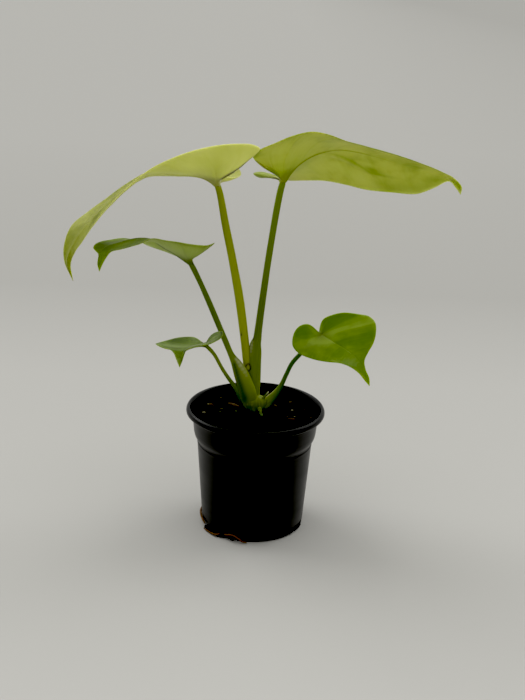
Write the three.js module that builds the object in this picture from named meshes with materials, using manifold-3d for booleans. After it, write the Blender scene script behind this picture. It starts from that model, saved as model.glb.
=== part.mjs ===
// A young golden aroid with five heart-shaped leaves, growing in a black nursery pot.
// Millimetres, +Z up. The origin is the centre of the pot's base, on the surface it stands on.
// +X is to the right and -Y is towards the viewer.

import * as THREE from 'three';
import { mergeVertices } from 'three/addons/utils/BufferGeometryUtils.js';
import Module from 'manifold-3d';

const wasm = await Module();
wasm.setup();

// Driving dimensions of the pot
const POT_HEIGHT = 100;
const LIP_RADIUS = 55;
const BASE_RADIUS = 40.9;
const WALL = 1.3;
const FLOOR = 2.2;
const WALL_TOP_RADIUS = 45.65;
const WALL_TOP_HEIGHT = 67;
const STEP_HEIGHT = 70.8;
const SLOT_COUNT = 4;
const SLOT_HEIGHT = 5.5;
const SLOT_ANGLE = 30;
const SLOT_TURN = 62;
const SLOT_REACH = 6.5;
const POT_SEGMENTS = 48;

// Driving dimensions of the soil and of what grows in it
const SOIL_HEIGHT = 91.5;
const SOIL_UNEVENNESS = 0.7;
const CROWN_FOOT = 72;
const GAP = 0.3;
const CHIP_CLEARANCE = 0.4;
const BLADE_THICKNESS = 0.7;
const RIB_DEPTH = 1.0;

const degrees = THREE.MathUtils.degToRad;

// Solids: joining, cutting and changing back to a geometry

function toSolid(geometry) {
  const bare = geometry.clone();
  bare.deleteAttribute('normal');
  bare.deleteAttribute('uv');
  const merged = mergeVertices(bare, 1e-4);
  const index = merged.index.array;
  const corners = [];
  for (let i = 0; i < index.length; i += 3) {
    const [a, b, c] = index.slice(i, i + 3);
    if (a !== b && b !== c && c !== a) corners.push(a, b, c);
  }
  return new wasm.Manifold(new wasm.Mesh({
    numProp: 3,
    vertProperties: merged.attributes.position.array,
    triVerts: Uint32Array.from(corners),
  }));
}

// The largest body of a cut piece, as a geometry.
function toGeometry(solid) {
  const bodies = solid.decompose().sort((a, b) => b.volume() - a.volume());
  const mesh = bodies[0].getMesh();
  const geometry = new THREE.BufferGeometry();
  geometry.setAttribute('position', new THREE.BufferAttribute(mesh.vertProperties, 3));
  geometry.setIndex(new THREE.BufferAttribute(mesh.triVerts, 1));
  return geometry;
}

function cut(solid, cutters) {
  return cutters.reduce((rest, cutter) => rest.subtract(cutter), solid);
}

const points2 = (rows) => rows.map(([x, y]) => new THREE.Vector2(x, y));
const curveThrough = (rows) => new THREE.CatmullRomCurve3(rows.map((p) => new THREE.Vector3(...p)));

// A profile of [radius, height] turned round the Z axis.
function turned(profile, segments) {
  return new THREE.LatheGeometry(points2(profile), segments).rotateX(Math.PI / 2);
}

// Pot: one moulded shell with a stepped collar, a rolled lip and four drain slots in its foot

function potWall(height, inset = 0) {
  const taper = (WALL_TOP_RADIUS - BASE_RADIUS) / WALL_TOP_HEIGHT;
  return BASE_RADIUS + taper * height - inset;
}

function makePot() {
  const outside = [
    [0, 0],
    [39.5, 0],
    [40.7, 0.9],
    [potWall(3.5), 3.5],
    [potWall(35), 35],
    [potWall(64), 64],
    [potWall(66), 66],
    [46.3, 67.8],
    [45.9, 69.2],
    [46.2, STEP_HEIGHT],
    [48, STEP_HEIGHT + 4],
    [49.3, 86],
    [50, 94.8],
    [54.3, 95.2],
    [LIP_RADIUS, 96.7],
    [54.9, 98.4],
    [54, 99.5],
    [52.4, POT_HEIGHT],
  ];
  const inside = [
    [51.3, 99.2],
    [50.6, 97.2],
    [48.6, 80],
    [46.6, STEP_HEIGHT + 4],
    [potWall(68, WALL), 68],
    [potWall(6, WALL), 6],
    [38.2, FLOOR],
    [0, FLOOR],
  ];
  const shell = toSolid(turned([...outside, ...inside], POT_SEGMENTS));
  const slot = new THREE.Shape();
  const half = degrees(SLOT_ANGLE / 2);
  slot.absarc(0, 0, BASE_RADIUS + SLOT_REACH, -half, half, false);
  slot.absarc(0, 0, BASE_RADIUS - SLOT_REACH, half, -half, true);
  const cutters = [];
  for (let i = 0; i < SLOT_COUNT; i++) {
    const wedge = new THREE.ExtrudeGeometry(slot, {
      depth: SLOT_HEIGHT + 1,
      bevelEnabled: false,
      curveSegments: 8,
    });
    wedge.translate(0, 0, -1);
    wedge.rotateZ(degrees(SLOT_TURN - 90 + (360 / SLOT_COUNT) * i));
    cutters.push(toSolid(wedge));
  }
  return toGeometry(cut(shell, cutters));
}

// Soil: fills the pot to under the lip, with a gently uneven top and a plain hole for the stem

function soilTop(x, y) {
  const waves = Math.sin(x / 7 + 1.2) * Math.cos(y / 9 - 0.4) + 0.5 * Math.sin((x - y) / 4);
  return SOIL_HEIGHT + SOIL_UNEVENNESS * waves;
}

function makeSoil(growing) {
  const gap = WALL + GAP + 0.1;
  const side = [
    [0, FLOOR + GAP],
    [36.6, FLOOR + GAP],
    [potWall(6, gap), 6],
    [potWall(67, gap), 67],
    [45.9, STEP_HEIGHT + 4.5],
    [49.2, SOIL_HEIGHT],
  ];
  const top = [45, 38, 30, 22, 14, 7, 0].map((radius) => [radius, SOIL_HEIGHT]);
  const geometry = turned([...side, ...top], POT_SEGMENTS);
  const position = geometry.attributes.position;
  for (let i = 0; i < position.count; i++) {
    if (position.getZ(i) > SOIL_HEIGHT - 0.01) {
      position.setZ(i, soilTop(position.getX(i), position.getY(i)));
    }
  }
  return toGeometry(cut(toSolid(geometry), growing));
}

// Stalks, roots and the stem: a tube with an oval section at each station.
// A station is [x, y, z, half width, half depth]; grow makes the same tube fatter all round.
// The depth points along plumb: backwards for what stands upright, upwards for what lies down.

const BACKWARDS = new THREE.Vector3(0, 1, 0);
const UPWARDS = new THREE.Vector3(0, 0, 1);

function tube(stations, { grow = 0, sides = 8, steps = 20, plumb = BACKWARDS } = {}) {
  const centre = curveThrough(stations.map((s) => s.slice(0, 3)));
  const last = stations.length - 1;
  const position = [];
  const triangles = [];
  for (let k = 0; k <= steps; k++) {
    const t = k / steps;
    const at = Math.min(Math.floor(t * last), last - 1);
    const share = t * last - at;
    const width = THREE.MathUtils.lerp(stations[at][3], stations[at + 1][3], share) + grow;
    const depth = THREE.MathUtils.lerp(stations[at][4], stations[at + 1][4], share) + grow;
    const along = centre.getTangent(t);
    const across = plumb.clone().cross(along).normalize();
    const back = along.clone().cross(across);
    const middle = centre.getPoint(t);
    if (k === 0) middle.addScaledVector(along, -grow);
    if (k === steps) middle.addScaledVector(along, grow);
    for (let i = 0; i < sides; i++) {
      const angle = (2 * Math.PI * i) / sides;
      const point = middle.clone()
        .addScaledVector(across, width * Math.cos(angle))
        .addScaledVector(back, depth * Math.sin(angle));
      position.push(...point);
    }
    for (let i = 0; i < sides && k < steps; i++) {
      const next = (i + 1) % sides;
      const here = k * sides;
      triangles.push(here + i, here + next, here + sides + next);
      triangles.push(here + i, here + sides + next, here + sides + i);
    }
  }
  for (let i = 1; i < sides - 1; i++) {
    triangles.push(0, i + 1, i);
    triangles.push(steps * sides, steps * sides + i, steps * sides + i + 1);
  }
  const geometry = new THREE.BufferGeometry();
  geometry.setAttribute('position', new THREE.Float32BufferAttribute(position, 3));
  geometry.setIndex(triangles);
  return geometry;
}

// Blade: a heart stretched between three guide curves, all from the stalk to the tip.
// The rib is the fold; near and far are the two margins, which start round the basal lobes.
// Row i joins a point of the margin to a point of the rib, as a vein does. The rows of the lobe
// all start at the stalk. Each row bows by bulge times its length.

const COLUMNS = [0, 0.07, 0.25, 0.5, 0.75, 1];

function bladeSheet({ rib, near, far, lobe = 0.36, bulge = [0.06, 0.06], rows = 24 }) {
  const ribCurve = curveThrough(rib);
  const points = [];
  const onRib = [];
  const triangles = [];
  const known = new Map();
  const add = (point, share) => {
    const key = point.toArray().map((value) => value.toFixed(3)).join();
    if (!known.has(key)) {
      known.set(key, points.length);
      points.push(point);
      onRib.push(share);
    }
    return known.get(key);
  };
  [near, far].forEach((margin, half) => {
    const marginCurve = curveThrough(margin);
    const facing = half === 0 ? 1 : -1;
    let previous = null;
    for (let i = 0; i <= rows; i++) {
      const t = i / rows;
      const s = Math.max(0, (t - lobe) / (1 - lobe));
      const inner = ribCurve.getPointAt(s);
      const row = marginCurve.getPointAt(t).sub(inner);
      const up = row.clone().cross(ribCurve.getTangentAt(s)).normalize();
      const rise = bulge[half] * row.length() * facing;
      const here = COLUMNS.map((share) => add(
        inner.clone()
          .addScaledVector(row, share)
          .addScaledVector(up, rise * 4 * share * (1 - share)),
        share === 0 ? 1 - s : 0,
      ));
      for (let j = 0; previous && j < COLUMNS.length - 1; j++) {
        const quad = [previous[j], here[j], here[j + 1], previous[j + 1]];
        if (half === 1) quad.reverse();
        for (const corner of [[0, 1, 2], [0, 2, 3]]) {
          const [a, b, c] = corner.map((k) => quad[k]);
          if (a !== b && b !== c && c !== a) triangles.push([a, b, c]);
        }
      }
      previous = here;
    }
  });
  return { points, triangles, onRib };
}

// The sheet gets its thickness along its normals, with the same triangles on both faces.
// Under the rib the lower face is deeper, and thins out towards the tip.
function thicken({ points, triangles, onRib }) {
  const normals = points.map(() => new THREE.Vector3());
  const total = new THREE.Vector3();
  const edges = new Map();
  for (const [a, b, c] of triangles) {
    const face = points[b].clone().sub(points[a]).cross(points[c].clone().sub(points[a]));
    total.add(face);
    for (const k of [a, b, c]) normals[k].add(face);
    for (const [from, to] of [[a, b], [b, c], [c, a]]) {
      if (!edges.delete(`${to},${from}`)) edges.set(`${from},${to}`, [from, to]);
    }
  }
  const upper = total.z > 0 ? 1 : -1;
  const shift = (k, distance) => {
    const rib = distance * upper < 0 ? RIB_DEPTH * onRib[k] : 0;
    return points[k].clone().addScaledVector(normals[k].normalize(), distance + Math.sign(distance) * rib);
  };
  const front = points.map((_, k) => shift(k, BLADE_THICKNESS / 2));
  const back = points.map((_, k) => shift(k, -BLADE_THICKNESS / 2));
  const count = points.length;
  const index = triangles.flatMap(([a, b, c]) => [a, b, c, count + a, count + c, count + b]);
  for (const [from, to] of edges.values()) {
    index.push(from, count + from, count + to, from, count + to, to);
  }
  const geometry = new THREE.BufferGeometry();
  geometry.setFromPoints([...front, ...back]);
  geometry.setIndex(index);
  return geometry;
}

// Guide curves of the five blades

const LARGE_LEFT_BLADE = {
  rib: [[-35, 8, 277.5], [-50, 7, 281], [-68, 6, 282], [-84.5, 5, 283], [-103.5, 4, 270],
    [-123.5, 4, 251.5], [-140, 5, 231.5], [-148.5, 6, 211], [-144.5, 8, 195.5]],
  near: [[-35, 8, 277.5], [-32, 3, 282], [-24.5, -5, 288.5], [-16, -13, 293], [-8, -20, 301.5],
    [-3, -25, 308], [-8.5, -29, 311.5], [-19.5, -32, 312], [-32, -33, 310.5], [-46.5, -33, 306.8],
    [-62, -32, 301], [-81.3, -28, 291], [-97.8, -22, 276.8], [-111.4, -17, 261.8],
    [-120.6, -15, 249.8], [-127.3, -11.5, 240.9], [-134, -8, 231.3], [-141, -1, 221.5],
    [-145.8, 6, 209], [-144.5, 8, 195.5]],
  far: [[-35, 8, 277.5], [-29.5, 15, 279], [-20, 30, 277], [-17.5, 40, 278], [-21, 50, 280.5],
    [-34, 58, 280], [-56, 59, 281], [-78, 55, 278], [-92.2, 49, 275], [-107, 40, 266.5],
    [-122.5, 35, 255], [-135.5, 31, 246], [-148, 25, 235.7], [-152.5, 17, 222], [-151.2, 11, 209.5],
    [-144.5, 8, 195.5]],
};

const LARGE_RIGHT_BLADE = {
  rib: [[15, 8, 279.5], [25, 7, 291], [33.5, 7, 297.5], [44, 7, 302], [56.5, 8, 304], [73, 8, 302],
    [98, 8, 295.5], [121, 8, 289.5], [138.5, 8, 285.2], [146.8, 8, 280.2], [148.6, 8, 273.5]],
  near: [[15, 8, 279.5], [12, 4, 283], [6, -2, 288], [-1, -7, 292], [-8, -14, 300], [-3.5, -22, 306.5],
    [7.7, -26, 312], [21, -29, 318.3], [33.5, -31, 322], [45, -30, 320.5], [59.5, -27, 315],
    [77.5, -22, 310], [97, -15, 305], [116.5, -7, 297.5], [132.8, 1, 291], [142, 6, 286.3],
    [148.8, 7.5, 279.3], [148.6, 8, 273.5]],
  far: [[15, 8, 279.5], [11.5, 12, 280.5], [4, 22, 280.5], [-2.5, 32, 276.5], [-7.8, 42, 277.8],
    [-1, 51, 277.2], [16, 54, 272], [33, 50, 272.6], [48.5, 44, 273.5], [65.5, 37, 272.5],
    [81, 30, 270.5], [99, 23, 270.4], [116.5, 18, 271.1], [128.8, 14, 276.7], [139.5, 10, 282.8],
    [145, 8.5, 278], [148.6, 8, 273.5]],
};

const MIDDLE_LEFT_BLADE = {
  rib: [[-55, 8, 216], [-60, 8, 217.5], [-65.5, 8, 220.5], [-75, 8, 226], [-83, 8, 231],
    [-93.5, 7, 232], [-104.5, 6, 229.5], [-115, 5, 225.5], [-121.5, 4, 221.5], [-124, 4, 215],
    [-123.5, 4, 205]],
  near: [[-55, 8, 216], [-52.5, 5, 220.5], [-47, -1, 225.4], [-41.3, -7, 229.5], [-38, -11, 232.8],
    [-34.6, -14, 235.3], [-39.6, -16, 233.8], [-45, -17, 233.8], [-53, -18, 234.5], [-62, -19, 236],
    [-70.5, -19, 237], [-80.5, -18, 238], [-91, -16, 232.7], [-103.3, -12, 227.4], [-112.2, -7, 224],
    [-116, -2, 219.7], [-120.5, 2, 211.8], [-123.5, 4, 205]],
  far: [[-55, 8, 216], [-53.5, 12, 219.8], [-49.3, 21, 220.3], [-46, 28, 219.5], [-49.5, 35, 219.5],
    [-59.5, 39, 219], [-69, 40, 217.5], [-77.5, 38, 218.2], [-86.7, 35, 219.6], [-97, 33, 223],
    [-107.5, 30, 225.5], [-118.5, 24, 225.3], [-124, 18, 225.5], [-127.7, 14, 224.3], [-129, 11, 222],
    [-127, 9, 220], [-124.5, 7, 218], [-125, 5, 210.5], [-123.5, 4, 205]],
};

const SMALL_LEFT_BLADE = {
  lobe: 0.45,
  bulge: [-0.05, 0.05],
  rows: 20,
  rib: [[-40.5, -7, 152.5], [-45.5, -12, 153], [-51, -19, 153.5], [-55.5, -25, 152.5], [-57, -28, 149],
    [-57.5, -29, 145.5], [-58.5, -29, 141]],
  near: [[-40.5, -7, 152.5], [-39.4, -6, 153.8], [-38, -3, 155.7], [-35.8, -3, 159.4],
    [-31.5, -6, 163], [-27.5, -12, 165.5], [-26.5, -19, 165.5], [-28, -25, 164], [-32, -30, 163],
    [-36.5, -35, 162.5], [-42.5, -39, 162.5], [-49, -39, 160.5], [-53, -35, 157], [-55, -31, 152],
    [-56.5, -29.5, 146.5], [-58.5, -29, 141]],
  far: [[-40.5, -7, 152.5], [-42.5, -3, 152.5], [-44, 3, 151.5], [-50.5, 13, 151.5], [-58, 17, 150],
    [-64, 16, 149.5], [-72.5, 10, 149], [-78, 2, 149.5], [-79, -6, 151], [-73, -16, 152],
    [-66.7, -21, 152.6], [-63.5, -25, 151], [-61, -28, 146.5], [-58.5, -29, 141]],
};

const SMALL_RIGHT_BLADE = {
  lobe: 0.42,
  rows: 20,
  rib: [[50, 13, 157.5], [57, 9, 154.5], [65, 5, 151], [73.5, 0, 147], [80.5, -4, 141],
    [85.5, -8, 132.5], [88.5, -10, 124]],
  near: [[50, 13, 157.5], [47.5, 12, 159.5], [44.2, 11, 162.7], [42, 9, 165.5], [38, 6, 168],
    [32.5, 2, 167.5], [29, -1, 164.5], [27, -4, 159.5], [27.2, -6, 153.4], [32, -7, 148],
    [41.5, -9, 145], [53, -11, 143.5], [65, -12, 142.5], [73, -12, 139.5], [79.8, -11, 134.4],
    [84.5, -10.5, 128.5], [88.5, -10, 124]],
  far: [[50, 13, 157.5], [48.5, 14, 160.5], [48.8, 17, 163.3], [51.5, 22, 167.5], [58.5, 26, 170],
    [68, 28, 171.5], [79.5, 27, 171], [87.7, 24, 170.6], [92.5, 20, 166.8], [93, 14, 160],
    [91, 8, 153.5], [86.9, 3, 147.3], [84, -2, 142], [85, -6, 136], [87.8, -8.5, 130.3],
    [88.5, -10, 124]],
};

// Stations of the stalks, from the blade down to the crown

const LARGE_LEFT_STALK = [
  [-35, 8, 276.4, 1.4, 1.4],
  [-32.4, 8, 268.5, 2.5, 2.3],
  [-27.5, 8.5, 244, 2.9, 2.7],
  [-21.5, 9, 216.5, 3.1, 3],
  [-15.3, 10, 184.5, 3.4, 3.3],
  [-10.5, 11, 151.5, 3.3, 3.2],
  [-8, 12, 130, 3.1, 3],
  [-5.5, 13, 108.5, 2.8, 2.8],
  [-4, 13.5, 93, 2.4, 2.4],
];

const LARGE_RIGHT_STALK = [
  [15, 8, 278.6, 1.6, 1.6],
  [13.1, 8, 271, 2.5, 2.3],
  [7.4, 9, 229.5, 2.5, 2.4],
  [2.5, 10, 185, 2.7, 2.6],
  [-0.3, 11.5, 157, 3.1, 3],
  [-1.5, 11.8, 147, 4.4, 3.2],
  [-1.3, 12.5, 124, 4.6, 3.6],
  [-0.8, 13, 104, 4, 3.6],
  [-0.5, 13.5, 93, 3, 3],
];

const MIDDLE_LEFT_STALK = [
  [-55, 8, 215, 1.3, 1.3],
  [-51.7, 8, 209.5, 2.1, 1.9],
  [-45.1, 8, 196, 2, 1.9],
  [-39.7, 8, 184, 2.2, 2.1],
  [-26, 8, 152, 2.3, 2.2],
  [-20.5, 7.5, 139.5, 2.5, 2.3],
  [-16.3, 6.8, 132.5, 4.2, 2.5],
  [-13.1, 6.5, 126, 5.6, 2.6],
  [-9.6, 6.5, 117, 6.4, 3],
  [-6.4, 7.5, 106, 7, 3.4],
  [-4, 9.5, 94.5, 5, 3],
];

const SMALL_LEFT_STALK = [
  [-40.4, -7, 151.6, 1, 1],
  [-37.5, -6, 149, 1.5, 1.4],
  [-33.5, -4, 143.5, 1.4, 1.4],
  [-27.5, 0, 131, 1.4, 1.4],
  [-22.5, 3, 122, 1.5, 1.5],
  [-16.5, 6, 112.5, 1.8, 1.8],
  [-11.8, 9, 103, 2.6, 2.4],
  [-7.5, 11, 94.5, 3, 2.6],
];

const SMALL_RIGHT_STALK = [
  [49.8, 13.4, 156.6, 1.1, 1.1],
  [46, 15, 153.5, 1.7, 1.6],
  [41, 15.5, 148.5, 1.7, 1.7],
  [34, 14.5, 140, 1.7, 1.7],
  [27.8, 14, 132, 1.7, 1.7],
  [23.9, 14, 123, 1.7, 1.7],
  [20.5, 13.5, 114.5, 1.9, 1.8],
  [16.5, 13, 106, 2.8, 2.2],
  [11, 13, 99, 3.7, 2.6],
  [5.5, 13, 93.5, 3, 2.6],
];

const NEW_SHOOT = [
  [4.5, 9, 100.7, 1.25, 1.1],
  [6.3, 9.6, 103.6, 1.15, 1],
  [8.5, 10.4, 106.4, 0.8, 0.7],
  [10.1, 11, 108.4, 0.35, 0.35],
];

const CROWN = [
  [-1.5, 13.5, CROWN_FOOT, 3.6, 3.6],
  [-1.5, 13.5, 84, 5, 4.6],
  [-1.5, 13, SOIL_HEIGHT, 6, 5.4],
  [-1, 12.5, 96, 8.2, 6.4],
  [-0.5, 12.2, 100.5, 9, 6.6],
];

const AERIAL_ROOT = [
  [2.8, 5.2, 97.2, 1.7, 1.5],
  [3.4, 3.6, 95.4, 1.5, 1.4],
  [4, 1.2, soilTop(4, 1.2) + 1.9, 1.2, 1.1],
  [4.6, -2.4, soilTop(4.6, -2.4) + 1.3, 1.3, 0.8],
  [5, -4.4, soilTop(5, -4.4) + 1, 0.7, 0.5],
];

const DRAIN_ROOTS = {
  drain_root_left: [
    [-22.5, -29, 2.6, 0.7, 0.7],
    [-25.6, -33.2, 2.6, 0.75, 0.75],
    [-28.4, -32.4, 1.6, 0.75, 0.75],
    [-30.8, -30, 1.2, 0.75, 0.75],
    [-34.2, -26, 1, 0.7, 0.7],
    [-37.8, -21.4, 0.9, 0.55, 0.55],
  ],
  drain_root_front: [
    [-19, -31, 3, 0.65, 0.65],
    [-20.6, -35.2, 3.6, 0.75, 0.75],
    [-20, -38.4, 5, 0.75, 0.75],
    [-17, -39.9, 6, 0.75, 0.75],
    [-13.2, -41.4, 5.8, 0.75, 0.75],
    [-9.6, -42.4, 3.6, 0.75, 0.75],
    [-6.8, -42.9, 1.6, 0.75, 0.75],
    [-3.2, -43.1, 0.9, 0.55, 0.55],
  ],
  drain_root_side: [
    [-34, 13.5, 3.2, 0.7, 0.7],
    [-38.4, 14.4, 3.4, 0.75, 0.75],
    [-41.6, 10.4, 4.2, 0.75, 0.75],
    [-42.9, 2.5, 5, 0.75, 0.75],
    [-42.6, -6, 4.8, 0.75, 0.75],
    [-40.8, -13, 4.4, 0.75, 0.75],
    [-38.4, -19, 4, 0.55, 0.55],
  ],
};

// Bark chips: squashed, faceted lumps on the soil. Each is [x, y, length, width, height, turn].

const BARK_CHIPS = {
  bark_chip_back: [-17.8, 18.8, 11.5, 3.8, 2.2, -38],
  bark_chip_left: [-36.8, 19.4, 5.8, 2.8, 2, -38],
  bark_chip_right: [28.6, -6.4, 6.2, 3.4, 2.1, -12],
};

// A chip is let down until its nearest corner is CHIP_CLEARANCE above the uneven soil.
function makeChip([x, y, length, width, height, turn]) {
  const chip = new THREE.DodecahedronGeometry(0.5, 0);
  chip.scale(length, width, height);
  chip.rotateZ(degrees(turn));
  chip.translate(x, y, 0);
  const { position } = chip.attributes;
  let lift = 0;
  for (let i = 0; i < position.count; i++) {
    const ground = soilTop(position.getX(i), position.getY(i));
    lift = Math.max(lift, ground - position.getZ(i));
  }
  chip.translate(0, 0, lift + CHIP_CLEARANCE);
  return toGeometry(toSolid(chip));
}

// Finishes

const finish = (color, roughness) => new THREE.MeshStandardMaterial({ color, roughness, metalness: 0 });

const blackPlastic = finish('#101112', 0.35);
const pottingMix = finish('#120d0a', 0.95);
const goldenLeaf = finish('#a8ab4c', 0.45);
const limeLeaf = finish('#8d9a38', 0.45);
const greenLeaf = finish('#6d8a2a', 0.4);
const goldenStalk = finish('#767a12', 0.45);
const greenStalk = finish('#48590b', 0.45);
const crownSkin = finish('#7d8a1c', 0.5);
const rootSkin = finish('#6a4325', 0.8);
const bark = finish('#8a6238', 0.9);

// Assembly

const group = new THREE.Group();

function addPiece(name, geometry, material) {
  const mesh = new THREE.Mesh(geometry, material);
  mesh.name = name;
  group.add(mesh);
}

// Stalks clasp each other: an inner one is whole, and each outer one is cut clear of it.
const lying = { plumb: UPWARDS, sides: 6, steps: 12 };
const GROWING = [
  ['large_left_stalk', LARGE_LEFT_STALK, goldenStalk],
  ['large_right_stalk', LARGE_RIGHT_STALK, greenStalk],
  ['middle_left_stalk', MIDDLE_LEFT_STALK, greenStalk],
  ['small_left_stalk', SMALL_LEFT_STALK, greenStalk],
  ['small_right_stalk', SMALL_RIGHT_STALK, greenStalk],
  ['new_shoot', NEW_SHOOT, crownSkin, { steps: 8 }],
  ['stem_crown', CROWN, crownSkin, { sides: 14, steps: 12 }],
  ['aerial_root', AERIAL_ROOT, crownSkin, lying],
  ...Object.entries(DRAIN_ROOTS).map(([name, stations]) => [name, stations, rootSkin, lying]),
];

const grown = {};
for (const [name, stations, material, shape] of GROWING) {
  const whole = toSolid(tube(stations, shape));
  addPiece(name, toGeometry(cut(whole, Object.values(grown))), material);
  grown[name] = toSolid(tube(stations, { ...shape, grow: GAP }));
}

for (const [stalk, blade, guides, material] of [
  ['large_left_stalk', 'large_left_blade', LARGE_LEFT_BLADE, goldenLeaf],
  ['large_right_stalk', 'large_right_blade', LARGE_RIGHT_BLADE, limeLeaf],
  ['middle_left_stalk', 'middle_left_blade', MIDDLE_LEFT_BLADE, greenLeaf],
  ['small_left_stalk', 'small_left_blade', SMALL_LEFT_BLADE, greenLeaf],
  ['small_right_stalk', 'small_right_blade', SMALL_RIGHT_BLADE, greenLeaf],
]) {
  const sheet = toSolid(thicken(bladeSheet(guides)));
  addPiece(blade, toGeometry(sheet.subtract(grown[stalk])), material);
}

for (const [name, chip] of Object.entries(BARK_CHIPS)) {
  addPiece(name, makeChip(chip), bark);
}

addPiece('pot', makePot(), blackPlastic);
addPiece('soil', makeSoil(Object.values(grown)), pottingMix);

export default group;
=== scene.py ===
# %% [markdown]
# # A young golden aroid in a nursery pot
# The plant has five heart-shaped leaves on long stalks that clasp each other in one short stem.
# It grows in a black plastic pot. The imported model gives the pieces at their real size, and this
# script gives each of them its fine surface and its finish. Everything is in metres, with +Z up.

import bmesh
import bpy
import numpy as np
from mathutils import Matrix


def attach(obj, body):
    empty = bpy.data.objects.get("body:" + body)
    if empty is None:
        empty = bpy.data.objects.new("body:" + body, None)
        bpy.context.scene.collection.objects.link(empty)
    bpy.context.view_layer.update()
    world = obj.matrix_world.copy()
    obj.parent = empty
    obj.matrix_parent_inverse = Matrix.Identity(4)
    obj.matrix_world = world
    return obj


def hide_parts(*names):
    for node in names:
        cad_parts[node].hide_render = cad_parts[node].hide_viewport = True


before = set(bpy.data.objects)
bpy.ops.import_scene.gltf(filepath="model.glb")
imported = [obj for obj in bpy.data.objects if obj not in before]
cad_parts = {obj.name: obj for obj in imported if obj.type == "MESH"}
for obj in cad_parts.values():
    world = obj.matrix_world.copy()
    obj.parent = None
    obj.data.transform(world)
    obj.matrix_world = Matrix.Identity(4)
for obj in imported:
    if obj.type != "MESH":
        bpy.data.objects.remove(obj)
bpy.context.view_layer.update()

MM = 0.001
print("solids in the frame:", len(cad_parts))

# %% [markdown]
# ## Camera
# The viewer stands in front of the pot and looks a little down on it. The lens and the place were
# worked out from the ellipses of the pot's rim, collar and base. The picture leans by two degrees,
# as a hand-held one does, so the camera is rolled and the pot stays upright.

# %% Camera
LONG_SIDE_PIXELS = 700
FOCAL_PIXELS = 1100
SENSOR = 36.0
CAMERA_PLACE = MM * np.array([3.9, -812.58, 430.29])
CAMERA_PITCH = np.radians(19.2)
CAMERA_ROLL = np.radians(2.0)

forward = np.array([0, np.cos(CAMERA_PITCH), -np.sin(CAMERA_PITCH)])
level_right = np.array([1.0, 0, 0])
level_up = np.cross(level_right, forward)
camera_right = np.cos(CAMERA_ROLL) * level_right + np.sin(CAMERA_ROLL) * level_up
camera_up = np.cross(camera_right, forward)

camera = bpy.data.objects.new("camera", bpy.data.cameras.new("camera"))
camera.data.sensor_width = SENSOR
camera.data.lens = FOCAL_PIXELS / LONG_SIDE_PIXELS * SENSOR
camera.data.clip_start, camera.data.clip_end = 0.05, 60
axes = np.column_stack([camera_right, camera_up, -forward])
camera.matrix_world = Matrix.Translation(CAMERA_PLACE) @ Matrix(axes.tolist()).to_4x4()
bpy.context.scene.collection.objects.link(camera)
bpy.context.scene.camera = camera
print("lens in mm:", round(camera.data.lens, 2))

# %% [markdown]
# ## Curves
# A leaf margin, a rib and a stalk are all smooth lines through a few points. A centripetal
# Catmull-Rom curve passes through every point and makes no loops between close ones, so it suits
# points that were given one by one.

# %% Smooth curves
def through_points(points, shares):
    """Points on a centripetal Catmull-Rom curve, at shares of the number of its spans.
    Each span is a cubic whose end slopes come from the neighbouring points, and the time that a
    span takes is the square root of its length. Columns after the third follow along."""
    points = np.asarray(points, float)
    padded = np.vstack([2 * points[0] - points[1], points, 2 * points[-1] - points[-2]])
    place = np.clip(shares, 0, 1) * (len(points) - 1)
    span = np.minimum(place.astype(int), len(points) - 2)
    w = (place - span)[:, None]
    p0, p1, p2, p3 = (padded[span + k] for k in range(4))
    d0, d1, d2 = (
        np.sqrt(np.linalg.norm((b - a)[:, :3], axis=1))[:, None]
        for a, b in ((p0, p1), (p1, p2), (p2, p3))
    )
    slope1 = d1 * ((p1 - p0) / d0 - (p2 - p0) / (d0 + d1) + (p2 - p1) / d1)
    slope2 = d1 * ((p2 - p1) / d1 - (p3 - p1) / (d1 + d2) + (p3 - p2) / d2)
    square = -3 * p1 + 3 * p2 - 2 * slope1 - slope2
    cube = 2 * p1 - 2 * p2 + slope1 + slope2
    return p1 + slope1 * w + square * w**2 + cube * w**3


# %% Places by length
FINE_STEPS = 1500


def by_length(points, shares):
    """The same curve at shares of its length, which are looked up on a finely cut copy of it."""
    fine = np.linspace(0, 1, FINE_STEPS)
    steps = np.linalg.norm(np.diff(through_points(points, fine)[:, :3], axis=0), axis=1)
    length = np.concatenate([[0], np.cumsum(steps)])
    return through_points(points, np.interp(np.clip(shares, 0, 1) * length[-1], length, fine))


def unit(vectors):
    """Vectors divided by their length."""
    return vectors / np.maximum(np.linalg.norm(vectors, axis=-1, keepdims=True), 1e-12)


bend = by_length([[1, 0, 0], [0.7, 0.7, 0], [0, 1, 0]], np.linspace(0, 1, 5))
print("five places along a bend:", bend[:, :2].round(2).tolist())

# %% [markdown]
# ## Uneven surfaces
# Skin, soil and bark are never even. Value noise gives every corner of a lattice a fixed random
# height and blends between the corners, so one formula serves them all and gives the same result
# on each run.

# %% Noise
def lattice_height(x, y, z):
    """A fixed number from 0 to 1 for each whole-number corner: the fraction of a large sine."""
    return np.modf(np.abs(np.sin(x * 127.1 + y * 311.7 + z * 74.7) * 43758.5453))[0]


def noise(points):
    """Value noise from 0 to 1: the eight corner heights round a point, blended by a smooth step."""
    points = np.asarray(points, float)
    corner = np.floor(points)
    f = points - corner
    f = f * f * (3 - 2 * f)
    total = 0
    for dx in (0, 1):
        for dy in (0, 1):
            for dz in (0, 1):
                x, y, z = np.moveaxis(corner + (dx, dy, dz), -1, 0)
                share = f[..., 0] if dx else 1 - f[..., 0]
                share = share * (f[..., 1] if dy else 1 - f[..., 1])
                share = share * (f[..., 2] if dz else 1 - f[..., 2])
                total = total + lattice_height(x, y, z) * share
    return total


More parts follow.
